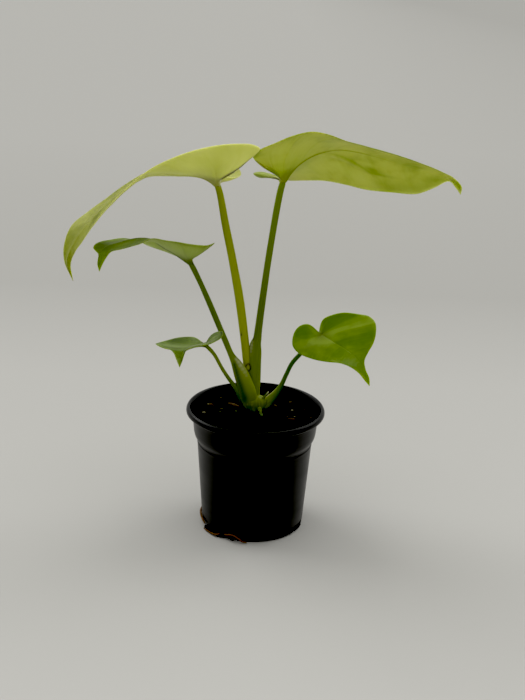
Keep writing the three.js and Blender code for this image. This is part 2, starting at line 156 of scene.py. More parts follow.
def rough(points, octaves=3):
    """Noise at several scales, each twice as fine and half as high, from -1 to 1."""
    weights = 0.5 ** np.arange(octaves)
    layers = [w * (2 * noise(points * 2**k + 17 * k) - 1) for k, w in enumerate(weights)]
    return sum(layers) / weights.sum()


def bell(x, width):
    """A bell curve, 1 at zero and small past twice the width."""
    return np.exp(-((x / width) ** 2))


def ramp(x, low, high):
    """A smooth step from 0 at low to 1 at high."""
    share = np.clip((x - low) / (high - low), 0, 1)
    return share * share * (3 - 2 * share)


def grid3(*columns):
    """Arrays of one shape, broadcast and stacked as the three coordinates of points."""
    return np.stack(np.broadcast_arrays(*columns), axis=-1)


print("noise near a corner of the lattice:", round(float(noise([0.25, 0.25, 0.25])), 3))

# %% [markdown]
# ## From grids to pieces
# A surface is a grid of points. Neighbouring points make a face, and points that lie on each other,
# such as those at a leaf's stalk, are merged, so every piece ends as one closed mesh. The number of
# open edges is printed with each piece and has to be 0.

# %% Faces of a grid
def grid_faces(rows, columns, start=0, ring=False, flip=False):
    """The corner numbers of the quads of a grid. A ring joins the last column to the first."""
    row = np.arange(rows - 1)[:, None] * columns
    here = np.arange(columns if ring else columns - 1)[None, :]
    there = (here + 1) % columns
    quads = [row + here, row + there, row + columns + there, row + columns + here]
    faces = start + np.stack(quads, axis=-1).reshape(-1, 4)
    return faces[:, ::-1] if flip else faces


print("faces of a grid of 3 by 4 points:", len(grid_faces(3, 4)))

# %% Pieces
# Only points that were worked out as the same place lie closer than this.
WELD = 0.0004 * MM


def make_piece(name, points, faces, finishes, nodes=(), attributes=None, finish_of=None):
    """A mesh object from points and faces, welded, riding on the plant's one body.
    attributes are numbers per point, which the finishes read by name, and finish_of is the number
    of each face's finish."""
    mesh = bpy.data.meshes.new(name)
    mesh.from_pydata(np.asarray(points, float).reshape(-1, 3), [], np.asarray(faces).tolist())
    for key, values in (attributes or {}).items():
        layer = mesh.attributes.new(key, "FLOAT", "POINT")
        layer.data.foreach_set("value", np.asarray(values, np.float32).ravel())
    for finish in finishes:
        mesh.materials.append(finish)
    if finish_of is not None:
        mesh.polygons.foreach_set("material_index", np.asarray(finish_of, np.int32))
    work = bmesh.new()
    work.from_mesh(mesh)
    bmesh.ops.remove_doubles(work, verts=work.verts, dist=WELD)
    bmesh.ops.recalc_face_normals(work, faces=work.faces)
    open_edges = sum(len(edge.link_faces) != 2 for edge in work.edges)
    work.to_mesh(mesh)
    work.free()
    mesh.shade_smooth()
    piece = bpy.data.objects.new(name, mesh)
    bpy.context.scene.collection.objects.link(piece)
    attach(piece, "root")
    if nodes:
        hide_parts(*nodes)
    print(f"{name}: {len(mesh.vertices)} points, {len(mesh.polygons)} faces, open {open_edges}")
    return piece


print("pieces are welded within", WELD / MM, "mm")

# %% [markdown]
# ## Finishes
# A finish is a small graph of nodes. One function adds a node, sets it and links it, so each finish
# reads as a list of what it is made of. Colours are written as they look on a screen and are turned
# to linear light once.

# %% Nodes and colours
# The sockets of a colour mix share their names with other kinds, so they are named by number.
FACTOR, FIRST, SECOND, MIXED = 0, 6, 7, 2


def linear(hex_code):
    """A colour from its screen code: each channel through the sRGB curve, with full opacity."""
    screen = np.array([int(hex_code[i:i + 2], 16) for i in (1, 3, 5)]) / 255
    light = np.where(screen <= 0.04045, screen / 12.92, ((screen + 0.055) / 1.055) ** 2.4)
    return (*light.tolist(), 1.0)


def add_node(tree, kind, inputs=None, links=None, stops=(), **settings):
    """A node of that kind, with its settings, its input values and the sockets that feed it.
    stops are a colour ramp's places from 0 to 1 and their colours."""
    node = tree.nodes.new(kind)
    for key, value in settings.items():
        setattr(node, key, value)
    for key, value in (inputs or {}).items():
        node.inputs[key].default_value = value
    for key, socket in (links or {}).items():
        tree.links.new(socket, node.inputs[key])
    if stops:
        elements = node.color_ramp.elements
        for _ in range(len(stops) - 2):
            elements.new(0.5)
        for element, (place, colour) in zip(elements, stops):
            element.position = place
            element.color = linear(colour)
    return node


def new_finish(name, constants):
    """A material with one Principled shader, whose constant inputs are set on its own sockets."""
    material = bpy.data.materials.new(name)
    material.use_nodes = True
    shader = material.node_tree.nodes["Principled BSDF"]
    for key, value in constants.items():
        shader.inputs[key].default_value = value
    return material, material.node_tree, shader


print("screen grey 80 in linear light:", round(linear("#808080")[0], 3))

# %% [markdown]
# ### Leaf skin
# A living leaf is a thin wet sheet under a wax film. The upper face is smooth and a little glossy;
# the lower one is duller. Light passes through, so a blade that is lit from above glows on its
# underside: subsurface light that reaches a few times the blade's thickness does that in a closed
# sheet. Pale streaks follow the fine veins, so their noise is stretched along the veins' own
# coordinates.

# %% Leaf skin
STREAKS_PER_BLADE = 60
CLOUD_SIZE = 18 * MM
# A leaf's cells are far finer. They are drawn this wide so that their grain shows.
CELL_SIZE = 0.5 * MM
SKIN_DEPTH = 0.06 * MM
LEAF_IOR = 1.42
LIGHT_REACH = 3.0 * MM


def leaf_skin(name, body, deep, pale, vein, stem, gloss, streak=0.35, shine=0.2, relief=0.25):
    """A leaf face. body, deep and pale are its colours, vein that of its veins and stem that of
    the part next to the stalk. gloss is its roughness, shine how much of the sky it mirrors, and
    streak how strong its lines are."""
    material, tree, shader = new_finish(name, {
        "IOR": LEAF_IOR, "Specular IOR Level": shine, "Subsurface Weight": 1.0,
        "Subsurface Scale": LIGHT_REACH, "Subsurface Radius": (0.9, 1.0, 0.6),
    })
    known = {key: add_node(tree, "ShaderNodeAttribute", attribute_name=key).outputs["Fac"]
             for key in ("vein_place", "span", "vein", "pale_mottle_and_painted_light", "dark_mottle_and_painted_shade", "stem_near")}
    along = add_node(tree, "ShaderNodeCombineXYZ",
                     links={"X": known["vein_place"], "Y": known["span"]})
    stretched = add_node(tree, "ShaderNodeMapping", {"Scale": (STREAKS_PER_BLADE, 2.5, 1)},
                         {"Vector": along.outputs["Vector"]})
    lines = add_node(tree, "ShaderNodeTexNoise", {"Scale": 1.0, "Detail": 3.0},
                     {"Vector": stretched.outputs["Vector"]})
    where = add_node(tree, "ShaderNodeTexCoord")
    clouds = add_node(tree, "ShaderNodeTexNoise", {"Scale": 1 / CLOUD_SIZE, "Detail": 3.0},
                      {"Vector": where.outputs["Object"]})
    cells = add_node(tree, "ShaderNodeTexNoise", {"Scale": 1 / CELL_SIZE, "Detail": 1.0},
                     {"Vector": where.outputs["Object"]})
    tones = add_node(tree, "ShaderNodeValToRGB", links={"Fac": clouds.outputs["Fac"]},
                     stops=[(0.12, deep), (0.5, body), (0.95, pale)])
    share = add_node(tree, "ShaderNodeMapRange",
                     {"From Min": 0.45, "From Max": 0.8, "To Max": streak},
                     {"Value": lines.outputs["Fac"]})
    colour = tones.outputs["Color"]
    # The light patches mix in the pale colour and the dark ones the deep colour. Partly this is the leaf's
    # own mottling, and partly it is painted sheen, painted light and painted shade.
    for amount, over in ((share.outputs["Result"], pale), (known["pale_mottle_and_painted_light"], pale),
                         (known["dark_mottle_and_painted_shade"], deep), (known["vein"], vein),
                         (known["stem_near"], stem)):
        mix = add_node(tree, "ShaderNodeMix", {SECOND: linear(over)},
                       {FACTOR: amount, FIRST: colour}, data_type="RGBA")
        colour = mix.outputs[MIXED]
    wax = add_node(tree, "ShaderNodeMapRange",
                   {"From Min": 0.3, "From Max": 0.7, "To Min": gloss - 0.05,
                    "To Max": gloss + 0.08}, {"Value": clouds.outputs["Fac"]})
    height = add_node(tree, "ShaderNodeMath", {1: 0.5},
                      {0: cells.outputs["Fac"], 2: lines.outputs["Fac"]},
                      operation="MULTIPLY_ADD")
    bump = add_node(tree, "ShaderNodeBump", {"Strength": relief, "Distance": SKIN_DEPTH},
                    {"Height": height.outputs["Value"]})
    tree.links.new(colour, shader.inputs["Base Color"])
    tree.links.new(wax.outputs["Result"], shader.inputs["Roughness"])
    tree.links.new(bump.outputs["Normal"], shader.inputs["Normal"])
    return material


print("light reaches", LIGHT_REACH / MM, "mm into a leaf")

# %% [markdown]
# ### The leaves' colours
# A leaf of this plant opens golden and turns green as it ages. So the two youngest blades are gold
# and lime, the older ones green, and the one on the right keeps a mottled look between the two.
# Every blade has a glossy upper and a dull lower face.

# %% Leaf finishes
GOLD_UPPER = leaf_skin("golden_leaf_upper_face", "#838828", "#6e760c", "#aeb066", "#9a9c50",
                       "#9a9e3a", gloss=0.38, streak=0.22)
GOLD_LOWER = leaf_skin("golden_leaf_lower_face", "#b2b170", "#a6a45c", "#bebc82", "#aeae56",
                       "#a2a544", gloss=0.5)
LIME_UPPER = leaf_skin("lime_leaf_upper_face", "#7d8a28", "#5a6a0c", "#9aa650", "#98a24a",
                       "#7c8a20", gloss=0.36)
LIME_LOWER = leaf_skin("lime_leaf_lower_face", "#a09f52", "#757f16", "#acac68", "#88921e",
                       "#8f9a16", gloss=0.5)
GREEN_UPPER = leaf_skin("green_leaf_upper_face", "#7a8e10", "#566c06", "#96a45a", "#8c9a38",
                        "#6c7a20", gloss=0.38, streak=0.25, shine=0.1)
DEEP_UPPER = leaf_skin("deep_green_leaf_upper_face", "#5e7210", "#435804", "#8a9a60", "#7c8c38",
                       "#6c7a20", gloss=0.42, streak=0.2, shine=0.24)
GREEN_LOWER = leaf_skin("green_leaf_lower_face", "#929e4e", "#6f7c26", "#a2ac6a", "#4c600a",
                        "#566808", gloss=0.5)
MOTTLED_UPPER = leaf_skin("mottled_leaf_upper_face", "#687e0c", "#466600", "#93a348", "#7e9038",
                          "#7c8c38", gloss=0.36, streak=0.2, shine=0.14)
MOTTLED_LOWER = leaf_skin("mottled_leaf_lower_face", "#7c9030", "#5a7410", "#aab670", "#6a7c20",
                          "#7c8c28", gloss=0.5)
print("leaf finishes ready")

# %% [markdown]
# ### Stalk skin
# A leaf stalk is ribbed by fibres that run its whole length, and its colour changes from the blade
# to the ground. The open edges of its sheath are thin, dry and pale.

# %% Stalk skin
FIBRES_AROUND = 26
FIBRE_RELIEF = 0.12 * MM


def stalk_skin(name, stops, streak, edge="#c3c4a0", scar_and_shade="#2b1c0d", gloss=0.42):
    """A stalk. stops are its colours from the blade down, streak the colour of its fibres and edge
    that of the sheath's edge. The last colour is that of a bruise and of painted shade."""
    material, tree, shader = new_finish(name, {
        "IOR": LEAF_IOR, "Specular IOR Level": 0.25, "Subsurface Weight": 0.5,
        "Subsurface Scale": 2.0 * MM, "Subsurface Radius": (0.9, 1.0, 0.3),
    })
    down = add_node(tree, "ShaderNodeAttribute", attribute_name="along")
    around = add_node(tree, "ShaderNodeAttribute", attribute_name="around")
    wing = add_node(tree, "ShaderNodeAttribute", attribute_name="wing")
    bruise = add_node(tree, "ShaderNodeAttribute", attribute_name="bruise")
    body = add_node(tree, "ShaderNodeValToRGB", links={"Fac": down.outputs["Fac"]}, stops=stops)
    place = add_node(tree, "ShaderNodeCombineXYZ",
                     links={"X": around.outputs["Fac"], "Y": down.outputs["Fac"]})
    stretched = add_node(tree, "ShaderNodeMapping", {"Scale": (FIBRES_AROUND, 5, 1)},
                         {"Vector": place.outputs["Vector"]})
    fibres = add_node(tree, "ShaderNodeTexNoise", {"Scale": 1.0, "Detail": 4.0},
                      {"Vector": stretched.outputs["Vector"]})
    share = add_node(tree, "ShaderNodeMapRange",
                     {"From Min": 0.45, "From Max": 0.75, "To Max": 0.55},
                     {"Value": fibres.outputs["Fac"]})
    colour = body.outputs["Color"]
    for amount, over in ((share.outputs["Result"], streak), (wing.outputs["Fac"], edge),
                         (bruise.outputs["Fac"], scar_and_shade)):
        mix = add_node(tree, "ShaderNodeMix", {SECOND: linear(over)},
                       {FACTOR: amount, FIRST: colour}, data_type="RGBA")
        colour = mix.outputs[MIXED]
    wax = add_node(tree, "ShaderNodeMapRange", {"To Min": gloss - 0.08, "To Max": gloss + 0.12},
                   {"Value": fibres.outputs["Fac"]})
    bump = add_node(tree, "ShaderNodeBump", {"Strength": 0.35, "Distance": FIBRE_RELIEF},
                    {"Height": fibres.outputs["Fac"]})
    tree.links.new(colour, shader.inputs["Base Color"])
    tree.links.new(wax.outputs["Result"], shader.inputs["Roughness"])
    tree.links.new(bump.outputs["Normal"], shader.inputs["Normal"])
    return material


print("fibres round a stalk:", FIBRES_AROUND)

# %% Stalk finishes
GOLD_STALK = stalk_skin("golden_stalk_skin", [(0.0, "#a0a440"), (0.12, "#949c20"),
                                              (0.6, "#a2a820"), (1.0, "#98a02c")], "#a3a83c")
DARK_STALK = stalk_skin("dark_green_stalk_skin", [(0.0, "#82960c"), (0.3, "#60720a"),
                                                  (0.75, "#77890c"), (1.0, "#8a9814")], "#86923c")
# The middle left and small right stalks take a deeper green in place of a bruise's brown: painted shade on
# the side turned from the light.
MIDDLE_STALK = stalk_skin("middle_stalk_skin", [(0.0, "#5f7208"), (0.35, "#61752a"),
                                                (0.7, "#8f9c20"), (0.85, "#8a9a10"),
                                                (1.0, "#7c8c14")], "#8c9838",
                          edge="#c0c29a", scar_and_shade="#4a600c")
SMALL_STALK = stalk_skin("small_stalk_skin", [(0.0, "#6a7c10"), (0.4, "#7d8c28"),
                                              (0.75, "#5b7518"), (1.0, "#355a18")], "#94a04c")
FAR_STALK = stalk_skin("small_right_stalk_skin", [(0.0, "#4f7010"), (0.5, "#3d6008"),
                                                  (0.8, "#6c8014"), (1.0, "#98a428")], "#6c8434",
                       edge="#b4ae60", scar_and_shade="#274c0a")
CROWN_SKIN = stalk_skin("crown_skin", [(0.0, "#7d8a1c"), (0.3, "#5f7016"), (0.6, "#465a14"),
                                       (1.0, "#34501e")], "#a0a850", edge="#cdd0a8")
print("stalk finishes ready")

# %% [markdown]
# ### Roots and bark
# A dry root and a pine-bark chip are both brown, matt and fissured. Noise stretched along the piece
# gives the fissures, and a number per chip gives each one its own tone. Peat is nearly black when it
# is damp, coir fibre is tan, and a few crumbs of olive and pale grit lie between them.

# %% Dry skin
# How fine the noise is along X, Y and Z: it is slowest along Y, so the fissures run that way.
FISSURES = (1, 0.45, 1.6)


def dry_skin(name, stops, grain_size, relief, roughness=0.85):
    """A dry, rough skin: stops are its colours from the hollows to the ridges."""
    material, tree, shader = new_finish(name, {"IOR": 1.45, "Roughness": roughness,
                                               "Specular IOR Level": 0.2})
    tone = add_node(tree, "ShaderNodeAttribute", attribute_name="tone")
    where = add_node(tree, "ShaderNodeTexCoord")
    stretched = add_node(tree, "ShaderNodeMapping", {"Scale": FISSURES},
                         {"Vector": where.outputs["Object"]})
    grain = add_node(tree, "ShaderNodeTexNoise",
                     {"Scale": 1 / grain_size, "Detail": 4.0, "Roughness": 0.6},
                     {"Vector": stretched.outputs["Vector"]})
    sum_of = add_node(tree, "ShaderNodeMath", {1: 0.8},
                      {0: grain.outputs["Fac"], 2: tone.outputs["Fac"]},
                      operation="MULTIPLY_ADD")
    colour = add_node(tree, "ShaderNodeValToRGB", links={"Fac": sum_of.outputs["Value"]},
                      stops=stops)
    bump = add_node(tree, "ShaderNodeBump", {"Strength": 0.8, "Distance": relief},
                    {"Height": grain.outputs["Fac"]})
    tree.links.new(colour.outputs["Color"], shader.inputs["Base Color"])
    tree.links.new(bump.outputs["Normal"], shader.inputs["Normal"])
    return material


print("fineness along X, Y and Z:", FISSURES)

# %% Dry finishes
ROOT_SKIN = dry_skin("dry_root_skin", [(0.2, "#2a1a0e"), (0.5, "#705230"), (0.8, "#9c8050")],
                     1.2 * MM, 0.25 * MM)
BARK_SKIN = dry_skin("pine_bark", [(0.2, "#110c07"), (0.5, "#33281a"), (0.8, "#5c4c2e")],
                     1.4 * MM, 0.4 * MM)
PEAT_SKIN = dry_skin("damp_peat", [(0.2, "#010101"), (0.6, "#060504"), (0.98, "#140e08")],
                     0.9 * MM, 0.3 * MM, roughness=0.75)
FIBRE_SKIN = dry_skin("coir_fibre", [(0.2, "#221d0e"), (0.6, "#544a26"), (0.9, "#857542")],
                      0.8 * MM, 0.2 * MM)
OLIVE_SKIN = dry_skin("olive_grit", [(0.2, "#23270a"), (0.5, "#484e14"), (0.8, "#6e7426")],
                      0.7 * MM, 0.2 * MM)
PALE_SKIN = dry_skin("pale_grit", [(0.2, "#4c4a38"), (0.6, "#7e7a60"), (0.9, "#aaa68c")],
                     0.7 * MM, 0.2 * MM)
print("dry finishes ready")

# %% [markdown]
# ### Moulded plastic
# A nursery pot is injection-moulded polypropylene, black all through. Its skin is smooth, with a
# satin gloss and very faint flow waves round the wall. A thin, uneven film of dust greys it in
# places.

# %% Black plastic
WAVE_HEIGHT = 9 * MM
WAVE_RELIEF = 0.3 * MM
DUST_SIZE = 1.3 * MM


def make_plastic():
    """Black polypropylene: a dark body, dust by noise, and low waves in the gloss."""
    material, tree, shader = new_finish("black_polypropylene", {
        "IOR": 1.49, "Specular IOR Level": 0.28,
    })
    where = add_node(tree, "ShaderNodeTexCoord")
    dust = add_node(tree, "ShaderNodeTexNoise",
                    {"Scale": 1 / DUST_SIZE, "Detail": 5.0, "Roughness": 0.65},
                    {"Vector": where.outputs["Object"]})
    colour = add_node(tree, "ShaderNodeValToRGB", links={"Fac": dust.outputs["Fac"]},
                      stops=[(0.5, "#050606"), (0.72, "#0a0b0b"), (0.85, "#2b2a26")])
    around, upwards = 0.25 / WAVE_HEIGHT, 1 / WAVE_HEIGHT
    flow = add_node(tree, "ShaderNodeMapping", {"Scale": (around, around, upwards)},
                    {"Vector": where.outputs["Object"]})
    waves = add_node(tree, "ShaderNodeTexNoise", {"Scale": 1.0, "Detail": 2.0},
                     {"Vector": flow.outputs["Vector"]})
    gloss = add_node(tree, "ShaderNodeMapRange", {"To Min": 0.24, "To Max": 0.42},
                     {"Value": waves.outputs["Fac"]})
    bump = add_node(tree, "ShaderNodeBump", {"Strength": 0.2, "Distance": WAVE_RELIEF},
                    {"Height": waves.outputs["Fac"]})
    tree.links.new(colour.outputs["Color"], shader.inputs["Base Color"])
    tree.links.new(gloss.outputs["Result"], shader.inputs["Roughness"])
    tree.links.new(bump.outputs["Normal"], shader.inputs["Normal"])
    return material


BLACK_PLASTIC = make_plastic()
print("plastic ready")

# %% [markdown]
# ## Pot
# The wall of the pot is one profile turned round the axis: outside, over the rolled lip and back
# down inside. The corners are rounded with short parabolas, because a mould has no sharp ones. Four
# windows are left out of the grid at the foot for the drain slots, and strips close their cut
# edges, which is cleaner than cutting a finished mesh.

# %% Pot profile
WALL = 1.3
FLOOR = 2.2
SLOT_COUNT = 4
SLOT_HEIGHT = 5.5
SLOT_INNER_RADIUS = 34.3
SLOT_HALF_ANGLE = np.radians(15)
SLOT_TURN = np.radians(-28)
FOOT_RADIUS = 40.9
WALL_TAPER = 4.75 / 67
ROUND_STEPS = 4


def wall_radius(height, inset=0.0):
    """The outside radius of the straight wall in mm: a cone from the foot to the collar."""
    return FOOT_RADIUS + WALL_TAPER * height - inset


def rounded(profile, cut):
    """A profile with each inner corner replaced by a parabola that starts and ends at cut from it,
    or at 0.45 of a shorter side."""
    profile = np.asarray(profile, float)
    before, corner, after = profile[:-2], profile[1:-1], profile[2:]
    back, ahead = before - corner, after - corner
    shorter = np.minimum(np.linalg.norm(back, axis=1), np.linalg.norm(ahead, axis=1))
    reach = np.minimum(cut, 0.45 * shorter)[:, None]
    start, end = corner + unit(back) * reach, corner + unit(ahead) * reach
    w = np.linspace(0, 1, ROUND_STEPS)[None, :, None]
    arcs = (1 - w) ** 2 * start[:, None] + 2 * w * (1 - w) * corner[:, None] + w**2 * end[:, None]
    return np.vstack([profile[:1], arcs.reshape(-1, 2), profile[-1:]])


UNDER_BASE = [[0, 0], [1.2, 0], [1.6, 0.4], [30, 0.4], [30.6, 0], [SLOT_INNER_RADIUS, 0]]
SLOT_OUTSIDE = [[SLOT_INNER_RADIUS, 0], [39.7, 0], [40.7, 0.8], [wall_radius(3.5), 3.5],
                [wall_radius(SLOT_HEIGHT), SLOT_HEIGHT]]
OUTER_WALL = [[wall_radius(SLOT_HEIGHT), SLOT_HEIGHT], [wall_radius(20), 20],
              [wall_radius(42), 42], [wall_radius(68.6), 68.6], [45.95, 69.9],
              [46.05, 70.8], [45.6, 71.5], [45.8, 72.5], [46.6, 74.1], [47.6, 75.7],
              [48.3, 77.4], [48.8, 80], [49.4, 86], [50.1, 94.6], [51.6, 95.0], [54.5, 95.2], [55.1, 96.0],
              [55.1, 97.6], [54.5, 98.9], [53.6, 99.8], [53.0, 100], [52.4, 99.8],
              [51.9, 99.2], [50.7, 97.2], [48.4, 80.6], [46.2, 76.4],
              [wall_radius(70, WALL), 70],
              [wall_radius(30, WALL), 30], [wall_radius(SLOT_HEIGHT, WALL), SLOT_HEIGHT]]
SLOT_INSIDE = [[SLOT_INNER_RADIUS, FLOOR], [37.4, FLOOR], [38.9, 2.9],
               [wall_radius(4.4, WALL), 4.4], [wall_radius(SLOT_HEIGHT, WALL), SLOT_HEIGHT]][::-1]
INNER_FLOOR = [[SLOT_INNER_RADIUS, FLOOR], [20, FLOOR], [0, FLOOR]]

sections = [rounded(s, c) for s, c in ((UNDER_BASE, 0.3), (SLOT_OUTSIDE, 1.2), (OUTER_WALL, 0.7),
                                       (SLOT_INSIDE, 0.8), (INNER_FLOOR, 0.5))]
pot_profile = np.vstack([sections[0], *[s[1:] for s in sections[1:]]]) * MM
marks = np.cumsum([0] + [len(s) - 1 for s in sections])
print("points in the pot's profile:", len(pot_profile))

# %% [markdown]
# ### The pot's wall and its slots
# The Screw modifier could turn the profile, and a Boolean one could cut the slots. On a grid
# whose rows and columns are known, a slot is only a block of faces that is left out, and the strips
# that close it are quads as clean as the rest. A small bevel then softens the cut edges.

# %% Angles round the pot
GAPS_IN_A_SLOT = 18
GAPS_BETWEEN_SLOTS = 24


def turned(profile, angles):
    """A profile of radius and height turned round Z: x = r cos a, y = r sin a, z = height."""
    radius, height = profile[:, 0, None], profile[:, 1, None]
    return grid3(radius * np.cos(angles), radius * np.sin(angles), height)


def slot_angles():
    """Angles round the pot that hit the edges of every slot, and which gaps lie in a slot."""
    between = 2 * np.pi / SLOT_COUNT - SLOT_HALF_ANGLE
    solid = np.linspace(SLOT_HALF_ANGLE, between, GAPS_BETWEEN_SLOTS, False)
    window = np.linspace(-SLOT_HALF_ANGLE, SLOT_HALF_ANGLE, GAPS_IN_A_SLOT, False)
    quarter = np.concatenate([window, solid])
    in_slot = np.concatenate([np.ones(len(window), bool), np.zeros(len(solid), bool)])
    turns = SLOT_TURN + np.arange(SLOT_COUNT) * 2 * np.pi / SLOT_COUNT
    return (turns[:, None] + quarter).ravel(), np.tile(in_slot, SLOT_COUNT)


print("columns round the pot:", len(slot_angles()[0]))


# %% Pot mesh
def make_pot():
    """The turned profile without its windows, and the strips that close the cut edges."""
    angles, in_slot = slot_angles()
    rows, columns = len(pot_profile), len(angles)
    points = turned(pot_profile, angles)
    faces = grid_faces(rows, columns, ring=True).reshape(rows - 1, columns, 4)
    row = np.arange(rows - 1)
    outside = (row >= marks[1]) & (row < marks[2])
    inside = (row >= marks[3]) & (row < marks[4])
    kept = ~((outside | inside)[:, None] & in_slot[None, :])
    strips = []
    starts = np.flatnonzero(in_slot & ~np.roll(in_slot, 1))
    ends = np.flatnonzero(~in_slot & np.roll(in_slot, 1))
    outer_rows = np.arange(marks[1], marks[2] + 1)
    inner_rows = np.arange(marks[4], marks[3] - 1, -1)
    for column in (*starts, *ends):
        outer, inner = outer_rows * columns + column, inner_rows * columns + column
        strips.append(np.stack([outer[:-1], outer[1:], inner[1:], inner[:-1]], axis=1))
    here = np.flatnonzero(in_slot)
    there = (here + 1) % columns
    for outer, inner in ((marks[1], marks[4]), (marks[2], marks[3])):
        strips.append(np.stack([outer * columns + here, outer * columns + there,
                                inner * columns + there, inner * columns + here], axis=1))
    faces = np.vstack([faces[kept], *strips])
    return make_piece("nursery_pot", points, faces, [BLACK_PLASTIC], ["pot"])


pot = make_pot()
edge_round = pot.modifiers.new("softened_slot_edges", "BEVEL")
edge_round.width = 0.25 * MM
edge_round.segments = 2
edge_round.limit_method = "ANGLE"
edge_round.angle_limit = np.radians(50)

# %% [markdown]
# ## Soil
# Potting mix is peat and bark that has settled under the lip. The bed could be a flat disc with a
# bump map, but its edge would then be a clean circle. So it is a turned solid whose top is a
# height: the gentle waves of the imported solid, plus coarse and fine lumps by noise.

# %% Soil heights
SOIL_HEIGHT = 91.5
SOIL_UNEVENNESS = 0.7
LUMP_SIZE, LUMP_HEIGHT = 6, 1.9
GRAIN_SIZE, GRAIN_HEIGHT = 1.9, 1.5
LUMPS_DOWN = 0.9


def soil_top(x, y):
    """The height of the soil in mm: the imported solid's waves without its lumps."""
    waves = np.sin(x / 7 + 1.2) * np.cos(y / 9 - 0.4) + 0.5 * np.sin((x - y) / 4)
    return SOIL_HEIGHT + SOIL_UNEVENNESS * waves


def lumpy_top(x, y):
    """The same with coarse lumps and fine grains: noise folded at zero, so its hollows are sharp,
    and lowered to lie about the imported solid's top."""
    coarse = np.abs(rough(grid3(x / LUMP_SIZE, y / LUMP_SIZE, 0.5 + 0 * x), 2))
    fine = np.abs(rough(grid3(x / GRAIN_SIZE, y / GRAIN_SIZE, 3.5 + 0 * x), 3))
    return soil_top(x, y) + LUMP_HEIGHT * coarse + GRAIN_HEIGHT * fine - LUMPS_DOWN


print("soil height at the stem in mm:", round(float(soil_top(0, 12)), 2))

# %% Soil bed
BED_RADIUS = 49.3
BED_RINGS = 120
BED_SEGMENTS = 300
BED_GAP = 0.4


def make_soil():
    """A turned solid: floor, side and a top of rings whose heights follow lumpy_top."""
    gap = WALL + BED_GAP
    side = np.array([[0, FLOOR + 0.3], [20, FLOOR + 0.3], [36.6, FLOOR + 0.3],
                     [wall_radius(6, gap), 6], [wall_radius(40, gap), 40],
                     [wall_radius(67, gap), 67], [46.0, 75.0], [48.2, 84.0]])
    radii = BED_RADIUS * np.sqrt(np.linspace(1, 0, BED_RINGS))
    top = np.column_stack([radii, np.full(BED_RINGS, SOIL_HEIGHT)])
    angles = np.linspace(0, 2 * np.pi, BED_SEGMENTS, endpoint=False)
    points = turned(np.vstack([side, top]), angles)
    bed = points[len(side):]
    height = lumpy_top(bed[..., 0], bed[..., 1])
    height[-1] = height[-1].mean()
    bed[..., 2] = height
    faces = grid_faces(len(points), BED_SEGMENTS, ring=True)
    tone = 0.2 * rough(points / 3.0, 2)
    return make_piece("soil_bed", points * MM, faces, [PEAT_SKIN], ["soil"],
                      {"tone": tone})


make_soil()

# %% [markdown]
# ## Crumbs
# A crumb is an icosahedron pulled out of shape, with 20 faces, because there are hundreds of them.
# All crumbs of one kind are worked out at once as one array, from the draws of a seeded generator,
# and joined in one piece. A particle system would place them too, but it is lost on export.

# %% Crumb shapes
GOLDEN = (1 + 5**0.5) / 2
ICO_POINTS = unit(np.array([
    [-1, GOLDEN, 0], [1, GOLDEN, 0], [-1, -GOLDEN, 0], [1, -GOLDEN, 0],
    [0, -1, GOLDEN], [0, 1, GOLDEN], [0, -1, -GOLDEN], [0, 1, -GOLDEN],
    [GOLDEN, 0, -1], [GOLDEN, 0, 1], [-GOLDEN, 0, -1], [-GOLDEN, 0, 1]]))
ICO_FACES = np.array([
    [0, 11, 5], [0, 5, 1], [0, 1, 7], [0, 7, 10], [0, 10, 11], [1, 5, 9], [5, 11, 4],
    [11, 10, 2], [10, 7, 6], [7, 1, 8], [3, 9, 4], [3, 4, 2], [3, 2, 6], [3, 6, 8], [3, 8, 9],
    [4, 9, 5], [2, 4, 11], [6, 2, 10], [8, 6, 7], [9, 8, 1]])
LARGEST_LEAN = 0.35
TONE_SPREAD = 0.25


def crumbs(centres, sizes, turns, draw, jag=0.22):
    """Points and faces of many lumps: an icosahedron scaled by sizes, its corners moved in or out
    by up to jag, turned about Z and leant a little, and moved to its centre."""
    count = len(centres)
    body = ICO_POINTS[None] * (1 + jag * draw.uniform(-1, 1, (count, len(ICO_POINTS), 1)))
    body = body * np.asarray(sizes)[:, None] / 2
    lean = draw.uniform(-LARGEST_LEAN, LARGEST_LEAN, count)[:, None]
    x, y, z = np.moveaxis(body, -1, 0)
    x, z = x * np.cos(lean) - z * np.sin(lean), x * np.sin(lean) + z * np.cos(lean)
    c, s = np.cos(turns)[:, None], np.sin(turns)[:, None]
    points = grid3(x * c - y * s, x * s + y * c, z) + np.asarray(centres)[:, None]
    faces = ICO_FACES[None] + len(ICO_POINTS) * np.arange(count)[:, None, None]
    tones = np.repeat(draw.uniform(-TONE_SPREAD, TONE_SPREAD, count), len(ICO_POINTS))
    return points.reshape(-1, 3), faces.reshape(-1, 3), tones


print("faces of a crumb:", len(ICO_FACES))

# %% Crumbs on the soil
CRUMB_FIELD = 48.4
RISE = 0.15


